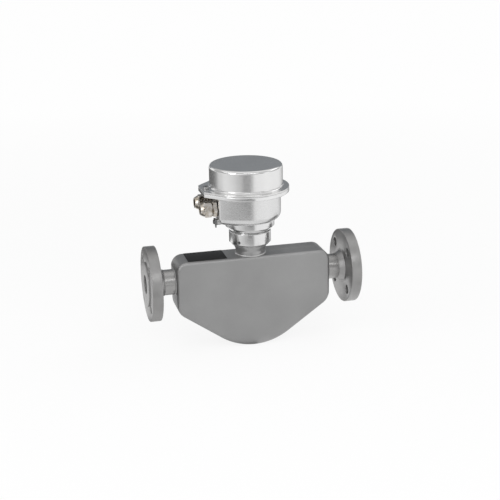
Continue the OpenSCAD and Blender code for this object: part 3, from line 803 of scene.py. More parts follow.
class Finishes:
    """Every finish of the meter, made once."""

    def __init__(self) -> None:
        """Makes the materials."""
        stem = (span("socket_ring").centre.x * MM, 0.0, 0.0)
        house = (span("cover_seal").centre.x * MM, 0.0, 0.0)
        pipe = (0.0, 0.0, 0.0)
        self.casing = BlastedSteel("blasted_casing_steel", 0.37, 0.42).make()
        self.neck = TurnedSteel("satin_neck_steel", 0.42, 0.30, stem, lines=1200).make()
        self.flange = TurnedSteel("turned_flange_steel", 0.36, 0.35, pipe, 0, 1400,
                                  0.000008, 0.012, 0.13).make()
        self.nozzle = TurnedSteel("turned_nozzle_steel", 0.40, 0.27, pipe, 0, 1400,
                                  0.000008, 0.015, 0.16).make()
        self.cover = TurnedSteel("polished_cover_steel", 0.82, 0.18, house, lines=1700,
                                 warm=0.004).make()
        self.bowl = TurnedSteel("polished_bowl_steel", 0.77, 0.23, house, lines=1500,
                                depth=0.0000015, radial=0.04).make()
        self.rim = TurnedSteel("polished_rim_steel", 0.84, 0.11, house, lines=1300).make()
        self.collar = TurnedSteel("polished_collar_steel", 0.80, 0.17, stem, lines=1300).make()
        self.weld = BlastedSteel("weld_steel", 0.60, 0.26, 0.01, 0.12, 1500).make()
        self.tube = BlastedSteel("pickled_tube_steel", 0.62, 0.28, 0.01, 0.08, 1200).make()
        self.hardware = BlastedSteel("screw_steel", 0.42, 0.26, 0.0, 0.1, 1500).make()
        self.dark = BlastedSteel("dark_clamp_steel", 0.24, 0.34, 0.0, 0.15, 1500).make()
        self.magnet = BlastedSteel("plated_magnet", 0.34, 0.25, 0.0, 0.1, 1500).make()
        self.nickel = NickelBrass().make()
        self.rubber = Moulded("black_rubber", (0.016, 0.016, 0.016), 0.55).make()
        self.plate = Moulded("black_plate_coating", (0.006, 0.0065, 0.006), 0.5, 700.0,
                            shine=0.28).make()
        self.pale = Moulded("pale_plastic", (0.72, 0.70, 0.64), 0.45).make()
        self.module = Moulded("module_plastic", (0.035, 0.038, 0.045), 0.5).make()
        self.green = Moulded("terminal_plastic", (0.10, 0.27, 0.13), 0.4).make()
        self.copper = Wound().make()


# --- sub-assemblies ------------------------------------------------------
def place_piece(piece: bpy.types.Object, body: str, slot: str, material: bpy.types.Material,
                *nodes: str) -> None:
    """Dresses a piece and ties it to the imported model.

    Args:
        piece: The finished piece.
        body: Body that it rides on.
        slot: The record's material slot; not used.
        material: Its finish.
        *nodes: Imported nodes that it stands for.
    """
    piece.data.materials.clear()
    piece.data.materials.append(material)
    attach(piece, body)
    if nodes:
        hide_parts(*nodes)
    LOG.info("%s rides on %s", piece.name, body)


def redraw(node: str, shells: Shells, body: str, slot: str, material: bpy.types.Material,
           sharp: float = 35) -> None:
    """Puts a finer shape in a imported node's place; edges above sharp degrees stay sharp."""
    place_piece(shells.object(f"{node}_fine", sharp), body, slot, material, node)


def dress(material: bpy.types.Material, *nodes: str) -> None:
    """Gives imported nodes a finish.

    Args:
        material: The finish.
        *nodes: Names of the nodes.
    """
    for node in nodes:
        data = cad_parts[node].data
        data.materials.clear()
        data.materials.append(material)
        LOG.info("%s keeps its packed shape", node)


@dataclass
class ProcessConnection:
    """Flange, hub and nozzle at one end of the pipe.

    The turned middle and the drilled disc are two shells that overlap by lap inside the metal.
    """

    side: Side
    finishes: Finishes
    bore: float = 14.25
    face: float = 34.0
    face_height: float = 2.0
    bolt_circle: float = 42.5
    bolt_hole: float = 7.0
    edge: float = 0.9
    hub: float = 23.5
    hub_length: float = 9.0
    hub_root: float = 3.0
    hub_step: float = 2.2
    nozzle: float = 19.5
    core: float = 28.125
    lap: float = 1.0
    butt_bead: float = 0.8
    casing_bead: float = 1.3
    sink: float = 0.2
    ripples: int = 84
    steps: int = 128

    def place(self) -> Matrix:
        """Frame at the sealing face.

        Returns:
            The frame, whose Z axis runs into the meter.
        """
        box = span(f"{self.side.value}_flange")
        inlet = self.side is Side.INLET
        start = Vector((box.low.x if inlet else box.high.x, 0, 0))
        way = Vector((1, 0, 0)) if inlet else Vector((-1, 0, 0))
        return along(start, way, Vector((0, 1, 0)))

    def build(self) -> None:
        """Makes the flange and its welds."""
        node = f"{self.side.value}_flange"
        box = span(node)
        outer, end = box.size.y / 2, box.size.x
        back = end - self.hub_length
        low, high, root = self.face_height + self.lap, back - self.lap, self.hub + self.hub_root
        shells = Shells()
        shells.turned(rounded([
            (self.bore, 0, 0.5), (self.face, 0, 0.35), (self.face, low, 0), (self.core, low, 0),
            (self.core, high, 0), (root, high, 0), (root, back - 0.05, 0),
            (self.hub + 0.4, back, 1.6), (self.hub - 0.4, back + self.hub_step, 1.5),
            (self.nozzle + 0.1, end, 0.4), (self.bore, end, 0.3),
        ]), self.place(), self.steps)
        reach = self.bolt_circle / math.sqrt(2)
        holes = [(reach * a, reach * b, self.bolt_hole) for a in (1, -1) for b in (1, -1)]
        holes.append((0, 0, self.core - 2 * self.lap))
        shells.plate(lambda inset: disc_hull([(0, 0, outer - inset)], self.steps), holes,
                     self.face_height, back, self.edge, self.place())
        redraw(node, shells, "sensor", "turned_stainless", self.finishes.flange)
        dress(self.finishes.nozzle, f"{self.side.value}_manifold")
        casing = span("casing_front_shell")
        wall = casing.low.x if self.side is Side.INLET else span(node).high.x - casing.high.x
        for name, z, bead, finish in (
                ("butt", end, self.butt_bead, self.finishes.nozzle),
                ("casing", wall - self.sink, self.casing_bead, self.finishes.weld)):
            ring = weld_bead(f"{self.side.value}_{name}_weld", self.nozzle + 0.05, bead,
                             self.ripples, self.place() @ Matrix.Translation((0, 0, z)), finish)
            place_piece(ring, "sensor", "turned_stainless", finish)


@dataclass
class Casing:
    """The two pressed shells, the seam between them and the plate on top."""

    finishes: Finishes
    wall: float = 2.0
    top_r: float = 17.0
    shoulder_r: float = 23.0
    belly_r: float = 92.8
    slope: float = 35.0
    edge: float = 4.5
    seam: float = 0.25
    land: float = 3.0
    belly_steps: int = 56
    corner_steps: int = 20
    plate_corner: float = 1.0
    plate_edge: float = 0.25

    def outline(self, inset: float) -> Loop:
        """The casing's front outline.

        Args:
            inset: How far it is pulled in.

        Returns:
            Points about the casing's middle.
        """
        box = span("casing_front_shell")
        half, top, drop = box.size.x / 2, box.high.z, -box.low.z
        slope = math.radians(self.slope)
        belly_z = self.belly_r - drop
        reach = self.belly_r - belly_z * math.cos(slope)
        side_x = half - self.shoulder_r
        side_z = (math.sin(slope) * side_x + self.shoulder_r - reach) / math.cos(slope)
        arcs = (
            (0, belly_z, self.belly_r, -90 - self.slope, -90 + self.slope),
            (side_x, side_z, self.shoulder_r, self.slope - 90, 0),
            (half - self.top_r, top - self.top_r, self.top_r, 0, 90),
            (self.top_r - half, top - self.top_r, self.top_r, 90, 180),
            (-side_x, side_z, self.shoulder_r, 180, 270 - self.slope))
        loop: Loop = []
        for i, (x, z, r, start, stop) in enumerate(arcs):
            steps = self.corner_steps if i else self.belly_steps
            loop += arc(x, z, r - inset, start, stop, steps)
        return loop

    def ring(self, inset: float, depth: float) -> list[Vector]:
        """One loop of a shell, pulled in by inset, at a depth from the middle plane."""
        return [Vector((x, depth, z)) for x, z in self.outline(inset)]

    def shell(self, node: str, face: int) -> Shells:
        """One pressed half with its inner side.

        Args:
            node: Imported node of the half.
            face: -1 for the front half, 1 for the rear one.

        Returns:
            The half's shells.
        """
        box = span(node)
        half = max(abs(box.low.y), abs(box.high.y))
        turns = [math.radians(10 * k) for k in range(10)]
        outer = [(self.seam, 0.0), (0.0, self.seam), (0.0, 3 * self.seam),
                 (0.0, half - self.edge - 1)]
        outer += [(self.edge * (1 - math.cos(t)), half - self.edge * (1 - math.sin(t)))
                  for t in turns]
        outer.append((self.edge + self.land, half))
        inner_r = self.edge - self.wall
        inner = [(self.wall, 0.0)]
        inner += [(self.wall + inner_r * (1 - math.cos(t)),
                   half - self.wall - inner_r * (1 - math.sin(t))) for t in turns[::3]]
        inner.append((self.edge + self.land, half - self.wall))
        place = Matrix.Translation((box.centre.x, 0, 0)) @ Matrix.Diagonal((1, face, 1, 1))
        shells = Shells()
        rings = [self.ring(i, d) for i, d in reversed(outer)] + [self.ring(i, d) for i, d in inner]
        shells.lofted(rings, place)
        return shells

    def build(self) -> None:
        """Makes both halves and the plate."""
        for face, side in ((-1, "front"), (1, "rear")):
            node = f"casing_{side}_shell"
            redraw(node, self.shell(node, face), "sensor", "satin_stainless",
                   self.finishes.casing, 50)
        box = span("nameplate")
        middle = Matrix.Translation((box.centre.x, box.centre.y, 0))
        r = self.plate_corner
        x, y = box.size.x / 2 - r, box.size.y / 2 - r
        corners = [(a * x, b * y) for a in (1, -1) for b in (1, -1)]
        plate = Shells()
        plate.plate(lambda inset: disc_hull([(a, b, r - inset) for a, b in corners], 48), [],
                    box.low.z, box.high.z, self.plate_edge, middle)
        redraw("nameplate", plate, "sensor", "black_plate", self.finishes.plate)


@dataclass
class Neck:
    """Neck, its weld on the casing, socket ring and lock screw."""

    finishes: Finishes
    neck_r: float = 22.5
    neck_bore: float = 16.0
    flare: float = 3.5
    chamfer: float = 4.8
    socket_r: float = 25.0
    seat: float = 4.5
    lock_r: float = 2.5
    lock_angle: float = -135.0
    lock_inside: float = 3.0
    lock_depth: float = 20.0
    waist_r: float = 8.0
    foot_gap: float = 0.02
    bead: float = 1.5
    ripples: int = 96

    def build(self) -> None:
        """Makes the neck and the ring."""
        ring = span("socket_ring")
        foot = span("casing_front_shell").high.z
        place = Matrix.Translation((ring.centre.x, 0, 0))
        z0, z1, outer = ring.low.z, ring.high.z, ring.size.x / 2
        neck = Shells()
        neck.turned(rounded([
            (self.neck_bore, foot + self.foot_gap, 0), (self.neck_r, foot + self.foot_gap, 0),
            (self.neck_r, (foot + z0) / 2, self.waist_r), (self.neck_r + self.flare, z0, 0.3),
            (self.neck_bore, z0, 0)]), place, 128)
        redraw("neck", neck, "sensor", "satin_stainless", self.finishes.neck)
        bead = weld_bead("neck_weld", self.neck_r + 0.1, self.bead, self.ripples,
                         place @ Matrix.Translation((0, 0, foot + 0.1)), self.finishes.weld)
        place_piece(bead, "sensor", "satin_stainless", self.finishes.weld)
        shells = Shells()
        shells.turned(rounded([
            (self.neck_bore, z0, 0), (outer - self.chamfer, z0, 0.5),
            (outer, z0 + self.chamfer, 0.6), (outer, z1, 0.7), (self.socket_r, z1, 0.4),
            (self.socket_r, z0 + self.seat, 0.2), (self.neck_bore, z0 + self.seat, 0.2)]),
            place, 160)
        piece = shells.object("socket_ring_fine")
        lock = span("lock_screw").centre
        angle = math.radians(self.lock_angle)
        way = Vector((math.cos(angle), math.sin(angle), 0))
        start = Vector((ring.centre.x, 0, lock.z)) + way * (self.socket_r - self.lock_inside)
        hole = Shells()
        hole.turned([(0, 0), (self.lock_r, 0), (self.lock_r, self.lock_depth),
                     (0, self.lock_depth)], along(start, way, Vector((0, 0, 1))), HOLE_STEPS)
        cut(piece, hole)
        place_piece(piece, "sensor", "polished_stainless", self.finishes.collar, "socket_ring")
        dress(self.finishes.dark, "lock_screw")


@dataclass
class Housing:
    """Collar, bowl and flange of the transmitter housing."""

    finishes: Finishes
    wall: float = 2.0
    foot_r: float = 12.0
    foot_slope: float = 25.0
    lip_r: float = 30.0
    pad_half: float = 37.0
    pad_corner: float = 5.0
    lug_half: float = 22.5
    lug_corner: float = 2.0
    edge: float = 0.9
    bow_start: float = 17.0
    screw_hole: float = 2.55
    upright: float = 8.0
    turn_steps: int = 10
    # Share and shift of a ring between the foot's end and the collar, which keeps shading even
    inner_ring: tuple[float, float] = (0.97, 0.3)
    steps: int = 216
    bore: float = 15.0
    spigot_r: float = 24.95
    spigot_l: float = 33.4
    seat_r: float = 28.5
    seat_l: float = 18.25
    step_l: float = 17.0
    chamfer: float = 6.8

    def __post_init__(self) -> None:
        """Reads the housing's places."""
        seal, flange, bowl = span("cover_seal"), span("housing_flange"), span("housing_bowl")
        self.axis = seal.centre.x
        self.neck = span("socket_ring").centre.x
        self.radius = bowl.size.y / 2
        self.pad = bowl.low.x - self.axis
        self.floor, self.top = bowl.low.z, bowl.high.z
        self.plate_r = flange.size.y / 2
        self.lug = self.axis - flange.low.x
        self.screw = span("cover_screw").centre.x - self.axis

    def plate_outline(self, inset: float) -> Loop:
        """Outline of the housing's and the cover's flange, with its lug.

        Args:
            inset: How far it is pulled in.

        Returns:
            Points about the housing's axis.
        """
        corner = self.lug - self.lug_corner
        side = self.lug_half - self.lug_corner
        r = self.lug_corner - inset
        return disc_hull([(0, 0, self.plate_r - inset), (-corner, side, r), (-corner, -side, r)],
                         self.steps)

    def bow(self, corner: Vector, corner_r: float, radius: float) -> Bow:
        """The slightly bowed side from the round bowl to a corner of its flat wall.

        Args:
            corner: Centre of the corner's rounding.
            corner_r: Radius of the rounding.
            radius: Radius of the bowl.

        Returns:
            Where the arc's normals start and stop, and its disc.
        """
        side = math.copysign(1, corner.y)
        start = math.radians(self.bow_start)
        way = Vector((-math.sin(start), side * math.cos(start)))
        gap = radius - corner_r
        back = (corner.length_squared - gap ** 2) / (2 * (gap - corner.dot(way)))
        end = corner + way * back
        angles = sorted(math.atan2(v.y, v.x) % (2 * math.pi) for v in (way, end))
        return angles[0], angles[1], (-way.x * back, -way.y * back, radius + back)

    def level(self, inset: float, z: float) -> list[Vector]:
        """One level of the bowl.

        Args:
            inset: How far the wall is pulled in.
            z: Height of the level.

        Returns:
            Points about the housing's axis.
        """
        t = min(1.0, max(0.0, inset / self.foot_r))
        shift = (self.foot_r - self.pad_corner) * t
        x, y = self.pad + self.pad_corner + shift, self.pad_half - self.pad_corner - shift
        r = self.pad_corner * (1 - t)
        bows = [self.bow(Vector((x, side)), r, self.radius - inset) for side in (y, -y)]
        loop = disc_hull([(0, 0, self.radius - inset), (x, y, r), (x, -y, r)], self.steps,
                         self.pad + inset, bows)
        return [Vector((a, b, z)) for a, b in loop]

    def bowl(self) -> Shells:
        """The bowl with its inner side.

        Returns:
            The bowl's shells.
        """
        knee = self.floor + self.foot_r
        slope = math.radians(90 - self.foot_slope)
        turns = [slope * k / self.turn_steps for k in range(self.turn_steps + 1)]
        share, shift = self.inner_ring
        rings = []
        for inner in (False, True):
            pull = self.wall if inner else 0.0
            r = self.foot_r - pull
            levels = [(pull, self.top), (pull, knee + self.upright)]
            levels += [(pull + r * (1 - math.cos(t)), knee - r * math.sin(t)) for t in turns]
            inset, z = levels[-1]
            base = self.floor + pull
            levels.append((inset + (z - base) / math.tan(math.radians(self.foot_slope)), base))
            side = [self.level(i, h) for i, h in levels]
            ring = side[-1]
            side.append([Vector((p.x * share + shift, p.y * share, base)) for p in ring])
            mouth = []
            for p in ring:
                way = math.atan2(p.y, p.x)
                mouth.append(Vector((self.neck - self.axis + self.lip_r * math.cos(way),
                                     self.lip_r * math.sin(way), base)))
            side.append(mouth)
            rings += reversed(side) if inner else side
        shells = Shells()
        shells.lofted(rings, Matrix.Translation((self.axis, 0, 0)), closed=True)
        return shells

    def collar(self) -> Shells:
        """The stepped collar with its spigot.

        Returns:
            The collar's shells.
        """
        z, outer = self.floor, span("housing_collar").size.x / 2
        tip, seat, step = z - self.spigot_l, z - self.seat_l, z - self.step_l
        shells = Shells()
        shells.turned(rounded([
            (self.bore, tip, 0), (self.spigot_r, tip, 0.3), (self.spigot_r, seat, 0),
            (self.seat_r, seat, 0), (self.seat_r, step, 0.2), (outer - self.chamfer, step, 0.5),
            (outer, step + self.chamfer, 0.7), (outer, z, 0.8), (self.lip_r, z, 0),
            (self.lip_r, z + self.wall, 0.2), (self.bore, z + self.wall, 0.2)]),
            Matrix.Translation((self.neck, 0, 0)), 160)
        return shells

    def build(self) -> None:
        """Makes the collar, the bowl and the flange."""
        redraw("housing_collar", self.collar(), "transmitter", "polished_stainless",
               self.finishes.collar)
        redraw("housing_bowl", self.bowl(), "transmitter", "polished_stainless",
               self.finishes.bowl, 40)
        box = span("housing_flange")
        flange = Shells()
        holes = [(0, 0, self.radius - self.wall), (self.screw, 0, self.screw_hole)]
        flange.plate(self.plate_outline, holes, box.low.z, box.high.z, self.edge,
                     Matrix.Translation((self.axis, 0, 0)))
        redraw("housing_flange", flange, "transmitter", "polished_stainless", self.finishes.rim)
        dress(self.finishes.rubber, "turn_seal", "cover_seal", "sensor_cable")
        dress(self.finishes.tube, "entry_plate")


@dataclass
class Cover:
    """The cover with its own flange, and the captive screw."""

    housing: Housing
    finishes: Finishes
    wall_r: float = 55.4
    wall: float = 1.5
    flange_t: float = 2.4
    edge: float = 4.6
    fillet: float = 3.6
    flange_edge: float = 0.7
    screw_hole: float = 2.7
    sink: float = 0.3

    def build(self) -> None:
        """Makes the cover."""
        box = span("cover")
        base, top = box.low.z, box.high.z
        lid, foot = base + self.flange_t, base + self.sink
        place = Matrix.Translation((self.housing.axis, 0, 0))
        inner, outer = self.wall_r - self.wall, self.wall_r + self.fillet
        loop: Loop = [(inner, foot), (outer, foot), (outer, lid - self.sink / 2)]
        loop += arc(outer, lid + self.fillet, self.fillet, -90, -180, 8)
        bend_x, bend_z = self.wall_r - self.edge, top - self.edge
        outside = arc(bend_x, bend_z, self.edge, 0, 90, 12) + [(bend_x - 2, top), (0.0, top)]
        ceiling = top - self.wall
        inside = arc(bend_x, bend_z, self.edge - self.wall, 0, 90, 12)
        inside += [(bend_x - 2, ceiling), (0.0, ceiling)]
        shells = Shells()
        shells.turned(loop + outside + inside[::-1], place, 192)
        holes = [(0, 0, inner + 2 * self.sink), (self.housing.screw, 0, self.screw_hole)]
        shells.plate(self.housing.plate_outline, holes, base, lid, self.flange_edge, place)
        redraw("cover", shells, "cover", "polished_stainless", self.finishes.cover, 40)
        dress(self.finishes.hardware, "cover_screw")


@dataclass
class CableGland:
    """One cable gland: body, seal, insert and nut."""

    side: Side
    finishes: Finishes
    flats: float = 22.0
    thread_r: float = 10.0
    stub_r: float = 8.5
    bore: float = 6.5
    hex_t: float = 6.0
    stub: float = 10.5
    gap: float = 1.0
    grip: float = 11.5
    dome: float = 6.0
    mouth: float = 6.0
    play: float = 0.1
    ridge: float = 0.5
    pitch: float = 1.5
    entry_l: float = 10.4
    seal_t: float = 1.5
    insert_l: float = 7.0
    insert_play: float = 0.45
    entry_run: float = 8.6
    stub_run: float = 9.6
    turned_off: float = 0.25
    corner_slope: float = 0.62

    def place(self) -> Matrix:
        """Frame at the body's seat; its Z axis points out of the housing."""
        seal = span(f"{self.side.value}_gland_seal")
        return along(Vector((seal.low.x, seal.centre.y, seal.centre.z)), Vector((-1, 0, 0)),
                     Vector((0, 0, 1)))

    def hexagon(self, low: float, high: float, bore: float, both: bool) -> Section:
        """Section of a hexagon whose corners are turned off.

        Args:
            low: Height of the lower end.
            high: Height of the upper end.
            bore: Radius of the hole.
            both: Whether the lower end is turned as well.

        Returns:
            The section at each angle.
        """
        flat = self.flats / 2 - self.turned_off

        def section(angle: float) -> Loop:
            """Section at one angle.

            Args:
                angle: The angle in radians.

            Returns:
                Its points.
            """
            r = hex_radius(self.flats, angle)
            drop = 0.12 + (r - flat) * self.corner_slope
            lift = drop if both else 0.15
            return [(bore, low), (flat if both else r - 0.15, low), (r, low + lift),
                    (r, high - drop), (flat, high), (bore, high)]
        return section

    def build(self) -> None:
        """Makes the four pieces."""
        name, place = self.side.value, self.place()
        body = Shells()
        body.turned(self.hexagon(0, self.hex_t, self.bore, False), place)
        end = self.hex_t + self.stub
        entry_r, stub_r = self.thread_r - self.ridge, self.stub_r - self.ridge
        cup_r = self.bore + self.insert_play
        body.turned(rounded([
            (self.bore, -self.entry_l, 0), (entry_r, -self.entry_l, 0.4), (entry_r, 1, 0),
            (stub_r, 1, 0), (stub_r, end, 0.3), (cup_r, end, 0),
            (cup_r, end - self.insert_l, 0), (self.bore, end - self.insert_l, 0)]), place, 64)
        redraw(f"{name}_gland_body", body, "transmitter", "nickel_brass",
               self.finishes.nickel, 30)
        for label, r, low, length in (
                ("entry", entry_r, 2 * self.play - self.entry_l, self.entry_run),
                ("stub", stub_r, self.hex_t + self.play, self.stub_run)):
            ridge = thread(f"{name}_gland_{label}_thread", r - self.play, length, self.pitch,
                           place @ Matrix.Translation((0, 0, low)), self.finishes.nickel)
            place_piece(ridge, "transmitter", "nickel_brass", self.finishes.nickel)
        seal, half = Shells(), self.flats / 2
        seal.turned(rounded([(self.thread_r, -self.seal_t, 0), (half, -self.seal_t, 0.4),
                             (half, 0, 0.4), (self.thread_r, 0, 0)]), place, 64)
        redraw(f"{name}_gland_seal", seal, "transmitter", "black_rubber", self.finishes.rubber)
        dress(self.finishes.rubber, f"{name}_gland_insert")
        low = self.hex_t + self.gap
        high = low + self.grip
        tip = high + self.dome
        nut, bore, wide = Shells(), self.stub_r + self.play, half - 0.7
        nut.turned(self.hexagon(low, high, bore, True), place)
        nut.turned(rounded([
            (bore, high - 1.5, 0), (wide, high - 1.5, 0), (wide, high + 1.6, 1.2),
            (wide - 2.6, tip, 2.2), (self.mouth, tip, 0.5), (self.mouth, high + 2.5, 0.6),
            (bore, high - 1, 0)]), place)
        redraw(f"{name}_gland_nut", nut, f"{name}_gland_nut", "nickel_brass",
               self.finishes.nickel, 28)


@dataclass
class Internals:
    """What the casing and the housing hold, and the small ground terminal."""

    finishes: Finishes

    def build(self) -> None:
        """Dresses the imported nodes."""
        made = self.finishes
        for finish, nodes in (
                (made.tube, ("support_beam", "brace_plates", "front_measuring_tube",
                             "rear_measuring_tube", "front_tube_brackets",
                             "rear_tube_brackets", "ground_boss")),
                (made.hardware, ("temperature_sensor", "module_posts", "module_screws",
                                 "ground_washer")),
                (made.dark, ("ground_clamp", "ground_screw")),
                (made.copper, ("drive_coil", "pickoff_coils")),
                (made.magnet, ("drive_magnet", "pickoff_magnets")),
                (made.pale, ("coil_leads", "sensor_plug")),
                (made.module, ("electronics_module", "feedthrough")),
                (made.green, ("terminal_block",))):
            dress(finish, *nodes)


# --- studio --------------------------------------------------------------
@dataclass(frozen=True)
class Card:
    """A standing card that only reflections see."""

    name: str
    grey: float
    azimuth: float
    distance: float
    width: float
    low: float
    high: float
    warm: float = 0.0


@dataclass(frozen=True)
class Patch:
    """A level sheet that only reflections see; its sides are metres from the target."""

    name: str
    grey: float
    left: float
    right: float
    near: float
    far: float


@dataclass(frozen=True)
class Lamp:
    """A soft square lamp, aimed at the target."""

    name: str
    azimuth: float
    elevation: float
    distance: float
    size: float
    watts: float


@dataclass
class Studio:
    """Camera, floor, surroundings, lamps and what stands or lies there to be reflected.

    Lengths are in metres and angles in degrees.
    """

    target: tuple[float, float, float] = (0.1645, 0.0, 0.0)
    azimuth: float = -13.8706
    elevation: float = 19.2419
    roll: float = -1.0215
    distance: float = 1.75931
    lens: float = 81.836
    shift: tuple[float, float] = (-0.00121, 0.04788)
    floor_reach: float = 9.0
    floor_gap: float = 0.0005
    floor_glow: float = 0.86
    far_glow: float = 0.98
    world_light: float = 0.50
    # Place round the fan, from 0 to 1, and grey of each stop
    ring_greys: tuple[tuple[float, float], ...] = (
        (0.00, 0.78), (0.04, 0.82), (0.08, 0.72), (0.125, 0.62), (0.15, 0.47), (0.268, 0.41),
        (0.280, 0.92), (0.40, 1.00), (0.55, 0.94), (0.61, 0.66), (0.64, 0.38), (0.70, 0.15),
        (0.80, 0.14), (0.895, 0.18), (0.93, 0.34), (0.955, 0.66),
    )
    ring_reach: float = 1.9
    ring_gap: float = 0.0001
    patch_rise: float = 0.0003
    roof_grey: float = 0.52
    roof_reach: float = 2.4
    roof_height: float = 1.5
    window_drop: float = 0.01
    window_glow: float = 0.9
    window: Patch = Patch("roof_patch", 1.00, -1.4, 1.4, -0.35, 0.75)
    patches: tuple[Patch, ...] = (
        Patch("rear_patch", 1.00, -0.46, 0.20, 0.12, 0.44),
        Patch("front_patch", 0.80, -0.30, 0.26, -0.40, -0.04),
        Patch("cover_patch", 0.0, -0.60, 0.02, -1.75, -0.97),
    )
    lamps: tuple[Lamp, ...] = (
        Lamp("key_lamp", 8, 38, 2.3, 2.0, 25),
        Lamp("side_lamp", -72, 28, 2.2, 1.7, 17),
        Lamp("top_lamp", 100, 48, 2.1, 1.3, 6),
    )
    cards: tuple[Card, ...] = (
        Card("rear_card", 0.25, 166, 1.5, 2.6, 0.12, 1.3, -0.05),
        Card("left_card", 0.40, -96, 1.5, 1.8, 0.10, 1.1),
        Card("right_card", 0.55, 92, 1.6, 1.6, 0.16, 1.0),
        Card("front_card", 0.40, 10, 1.6, 2.1, 0.10, 1.1),
    )

    def camera(self) -> None:
        """Makes the camera."""
        back, roll = bearing(self.azimuth, self.elevation), math.radians(self.roll)
        right = (-back).cross(Vector((0, 0, 1))).normalized()
        up = right.cross(-back)
        x = right * math.cos(roll) + up * math.sin(roll)
        y = -right * math.sin(roll) + up * math.cos(roll)
        data = bpy.data.cameras.new("camera")
        data.lens, data.sensor_width = self.lens, 36
        data.shift_x, data.shift_y = self.shift
        data.clip_start, data.clip_end = 0.05, 60
        cam = bpy.data.objects.new("camera", data)
        turn = Matrix((x, y, back)).transposed().to_4x4()
        cam.matrix_world = Matrix.Translation(Vector(self.target) + back * self.distance) @ turn
        bpy.context.scene.collection.objects.link(cam)
        bpy.context.scene.camera = cam

    def sheet(self, name: str, corners: Sequence[Vector], material: bpy.types.Material,
              reflected: bool = True) -> None:
        """Makes a flat sheet of the studio.

        Args:
            name: Name of the sheet.
            corners: Its corners, in metres.
            material: Its finish.
            reflected: Whether only reflections see it.
        """
        mesh = bpy.data.meshes.new(name)
        mesh.from_pydata([tuple(c) for c in corners], [], [tuple(range(len(corners)))])
        mesh.materials.append(material)
        obj = bpy.data.objects.new(name, mesh)
        bpy.context.scene.collection.objects.link(obj)
        obj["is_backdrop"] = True
        if reflected:
            obj.visible_camera = obj.visible_diffuse = obj.visible_shadow = False
            obj.visible_transmission = False

    def level(self, left: float, right: float, first: float, last: float,
              z: float) -> list[Vector]:
        """Corners of a level rectangle about the target; its far side is first if it faces down."""
        x, y = self.target[:2]
        return [Vector((x + a, y + b, z)) for a, b in
                ((left, first), (right, first), (right, last), (left, last))]

    def floor(self) -> None:
        """Makes the pale floor, which keeps the object's shadow."""
        z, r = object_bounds()[0][2] - self.floor_gap, self.floor_reach
        g = Graph("studio_floor")
        fine = g.noise(g.place(), 30, 2)
        dull = g.wire("BsdfDiffuse", {"Color": g.blend(fine, rgb(0.90), rgb(0.92))})
        glow = g.wire("Emission", {"Strength": 1.0})
        away = g.wire("VectorMath", {0: g.place(), 1: (*self.target[:2], z)}, output="Value",
                      operation="DISTANCE")
        white = g.spread(away, self.floor_glow, self.far_glow, 0.5, 2.0)
        share = g.wire("Math", {0: g.seen(), 1: white}, operation="MINIMUM")
        mixed = g.wire("MixShader", {0: share, 1: dull, 2: glow})
        g.node("OutputMaterial", {"Surface": mixed})
        self.sheet("studio_floor", self.level(-r, r, -r, r, z), g.material, reflected=False)

    def world(self) -> None:
        """Makes the white surroundings, which light the object less than they show."""
        world = bpy.data.worlds.new("studio")
        bpy.context.scene.world = world
        g = Graph(world)
        strength = g.wire("MapRange", {"Value": g.seen(), "To Min": self.world_light,
                                       "To Max": 1.0}, output="Result")
        back = g.wire("Background", {"Color": (1, 1, 1, 1), "Strength": strength})
        g.node("OutputWorld", {"Surface": back})

    def reflections(self) -> None:
        """Lays what only reflections show: bright and dark patches, the fan and the roof."""
        ring_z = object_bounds()[0][2] - self.ring_gap
        fan = Graph("reflection_fan")
        about = fan.wire("VectorMath", {0: fan.place(), 1: self.target}, operation="SUBTRACT")
        turn = fan.wire("TexGradient", {"Vector": about}, output="Fac", gradient_type="RADIAL")
        grey = fan.wire("ValToRGB", {"Fac": turn}, stops=self.ring_greys)
        p = self.window
        self.sheet(p.name, self.level(p.left, p.right, p.far, p.near,
                                      self.roof_height - self.window_drop),
                   Graph(p.name).glow(rgb(p.grey), self.window_glow))
        for p in self.patches:
            self.sheet(p.name, self.level(p.left, p.right, p.near, p.far,
                                          ring_z + self.patch_rise),
                       Graph(p.name).glow(rgb(p.grey)))
        r = self.ring_reach
        self.sheet("reflection_fan", self.level(-r, r, -r, r, ring_z), fan.glow(grey))
        r = self.roof_reach
        self.sheet("reflection_roof", self.level(-r, r, r, -r, self.roof_height),
                   Graph("reflection_roof").glow(rgb(self.roof_grey)))

    def light(self, lamp: Lamp) -> None:
        """Makes a lamp.

        Args:
            lamp: What it is like.
        """
        way = bearing(lamp.azimuth, lamp.elevation)
        data = bpy.data.lights.new(lamp.name, "AREA")
        data.shape, data.size, data.energy = "SQUARE", lamp.size, lamp.watts
        made = bpy.data.objects.new(lamp.name, data)
        made.location = Vector(self.target) + way * lamp.distance
        made.rotation_euler = way.to_track_quat("Z", "Y").to_euler()
        bpy.context.scene.collection.objects.link(made)

    def stand(self, card: Card) -> None:
        """Stands a card up, square to its bearing.

        Args:
            card: What it is like.
        """
        foot = Vector((*self.target[:2], 0)) + bearing(card.azimuth) * card.distance
        side = bearing(card.azimuth + 90) * (card.width / 2)
        low, high = Vector((0, 0, card.low)), Vector((0, 0, card.high))
        self.sheet(card.name, (foot - side + low, foot + side + low,
                               foot + side + high, foot - side + high),
                   Graph(card.name).glow(rgb(card.grey, card.warm)))

    def build(self) -> None:
        """Makes the whole studio."""
        bpy.context.scene.view_settings.view_transform = "Standard"
        self.camera()
        self.floor()
        self.world()
        self.reflections()
        for lamp in self.lamps:
            self.light(lamp)
        for card in self.cards:
            self.stand(card)


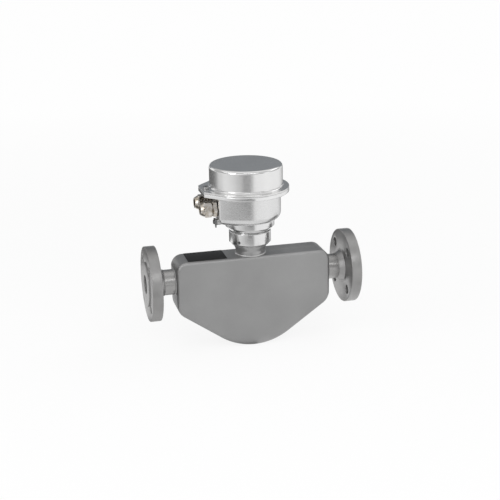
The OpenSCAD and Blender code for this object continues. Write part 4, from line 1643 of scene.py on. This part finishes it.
def main() -> None:
    """Builds the studio and every sub-assembly."""
    logging.basicConfig(level=logging.INFO, format="%(name)s: %(message)s")
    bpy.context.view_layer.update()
    Studio().build()
    finishes = Finishes()
    housing = Housing(finishes)
    for part in (ProcessConnection(Side.INLET, finishes), ProcessConnection(Side.OUTLET, finishes),
                 Casing(finishes), Neck(finishes), housing, Cover(housing, finishes),
                 CableGland(Side.FRONT, finishes), CableGland(Side.REAR, finishes),
                 Internals(finishes)):
        part.build()


if __name__ == "__main__":
    main()
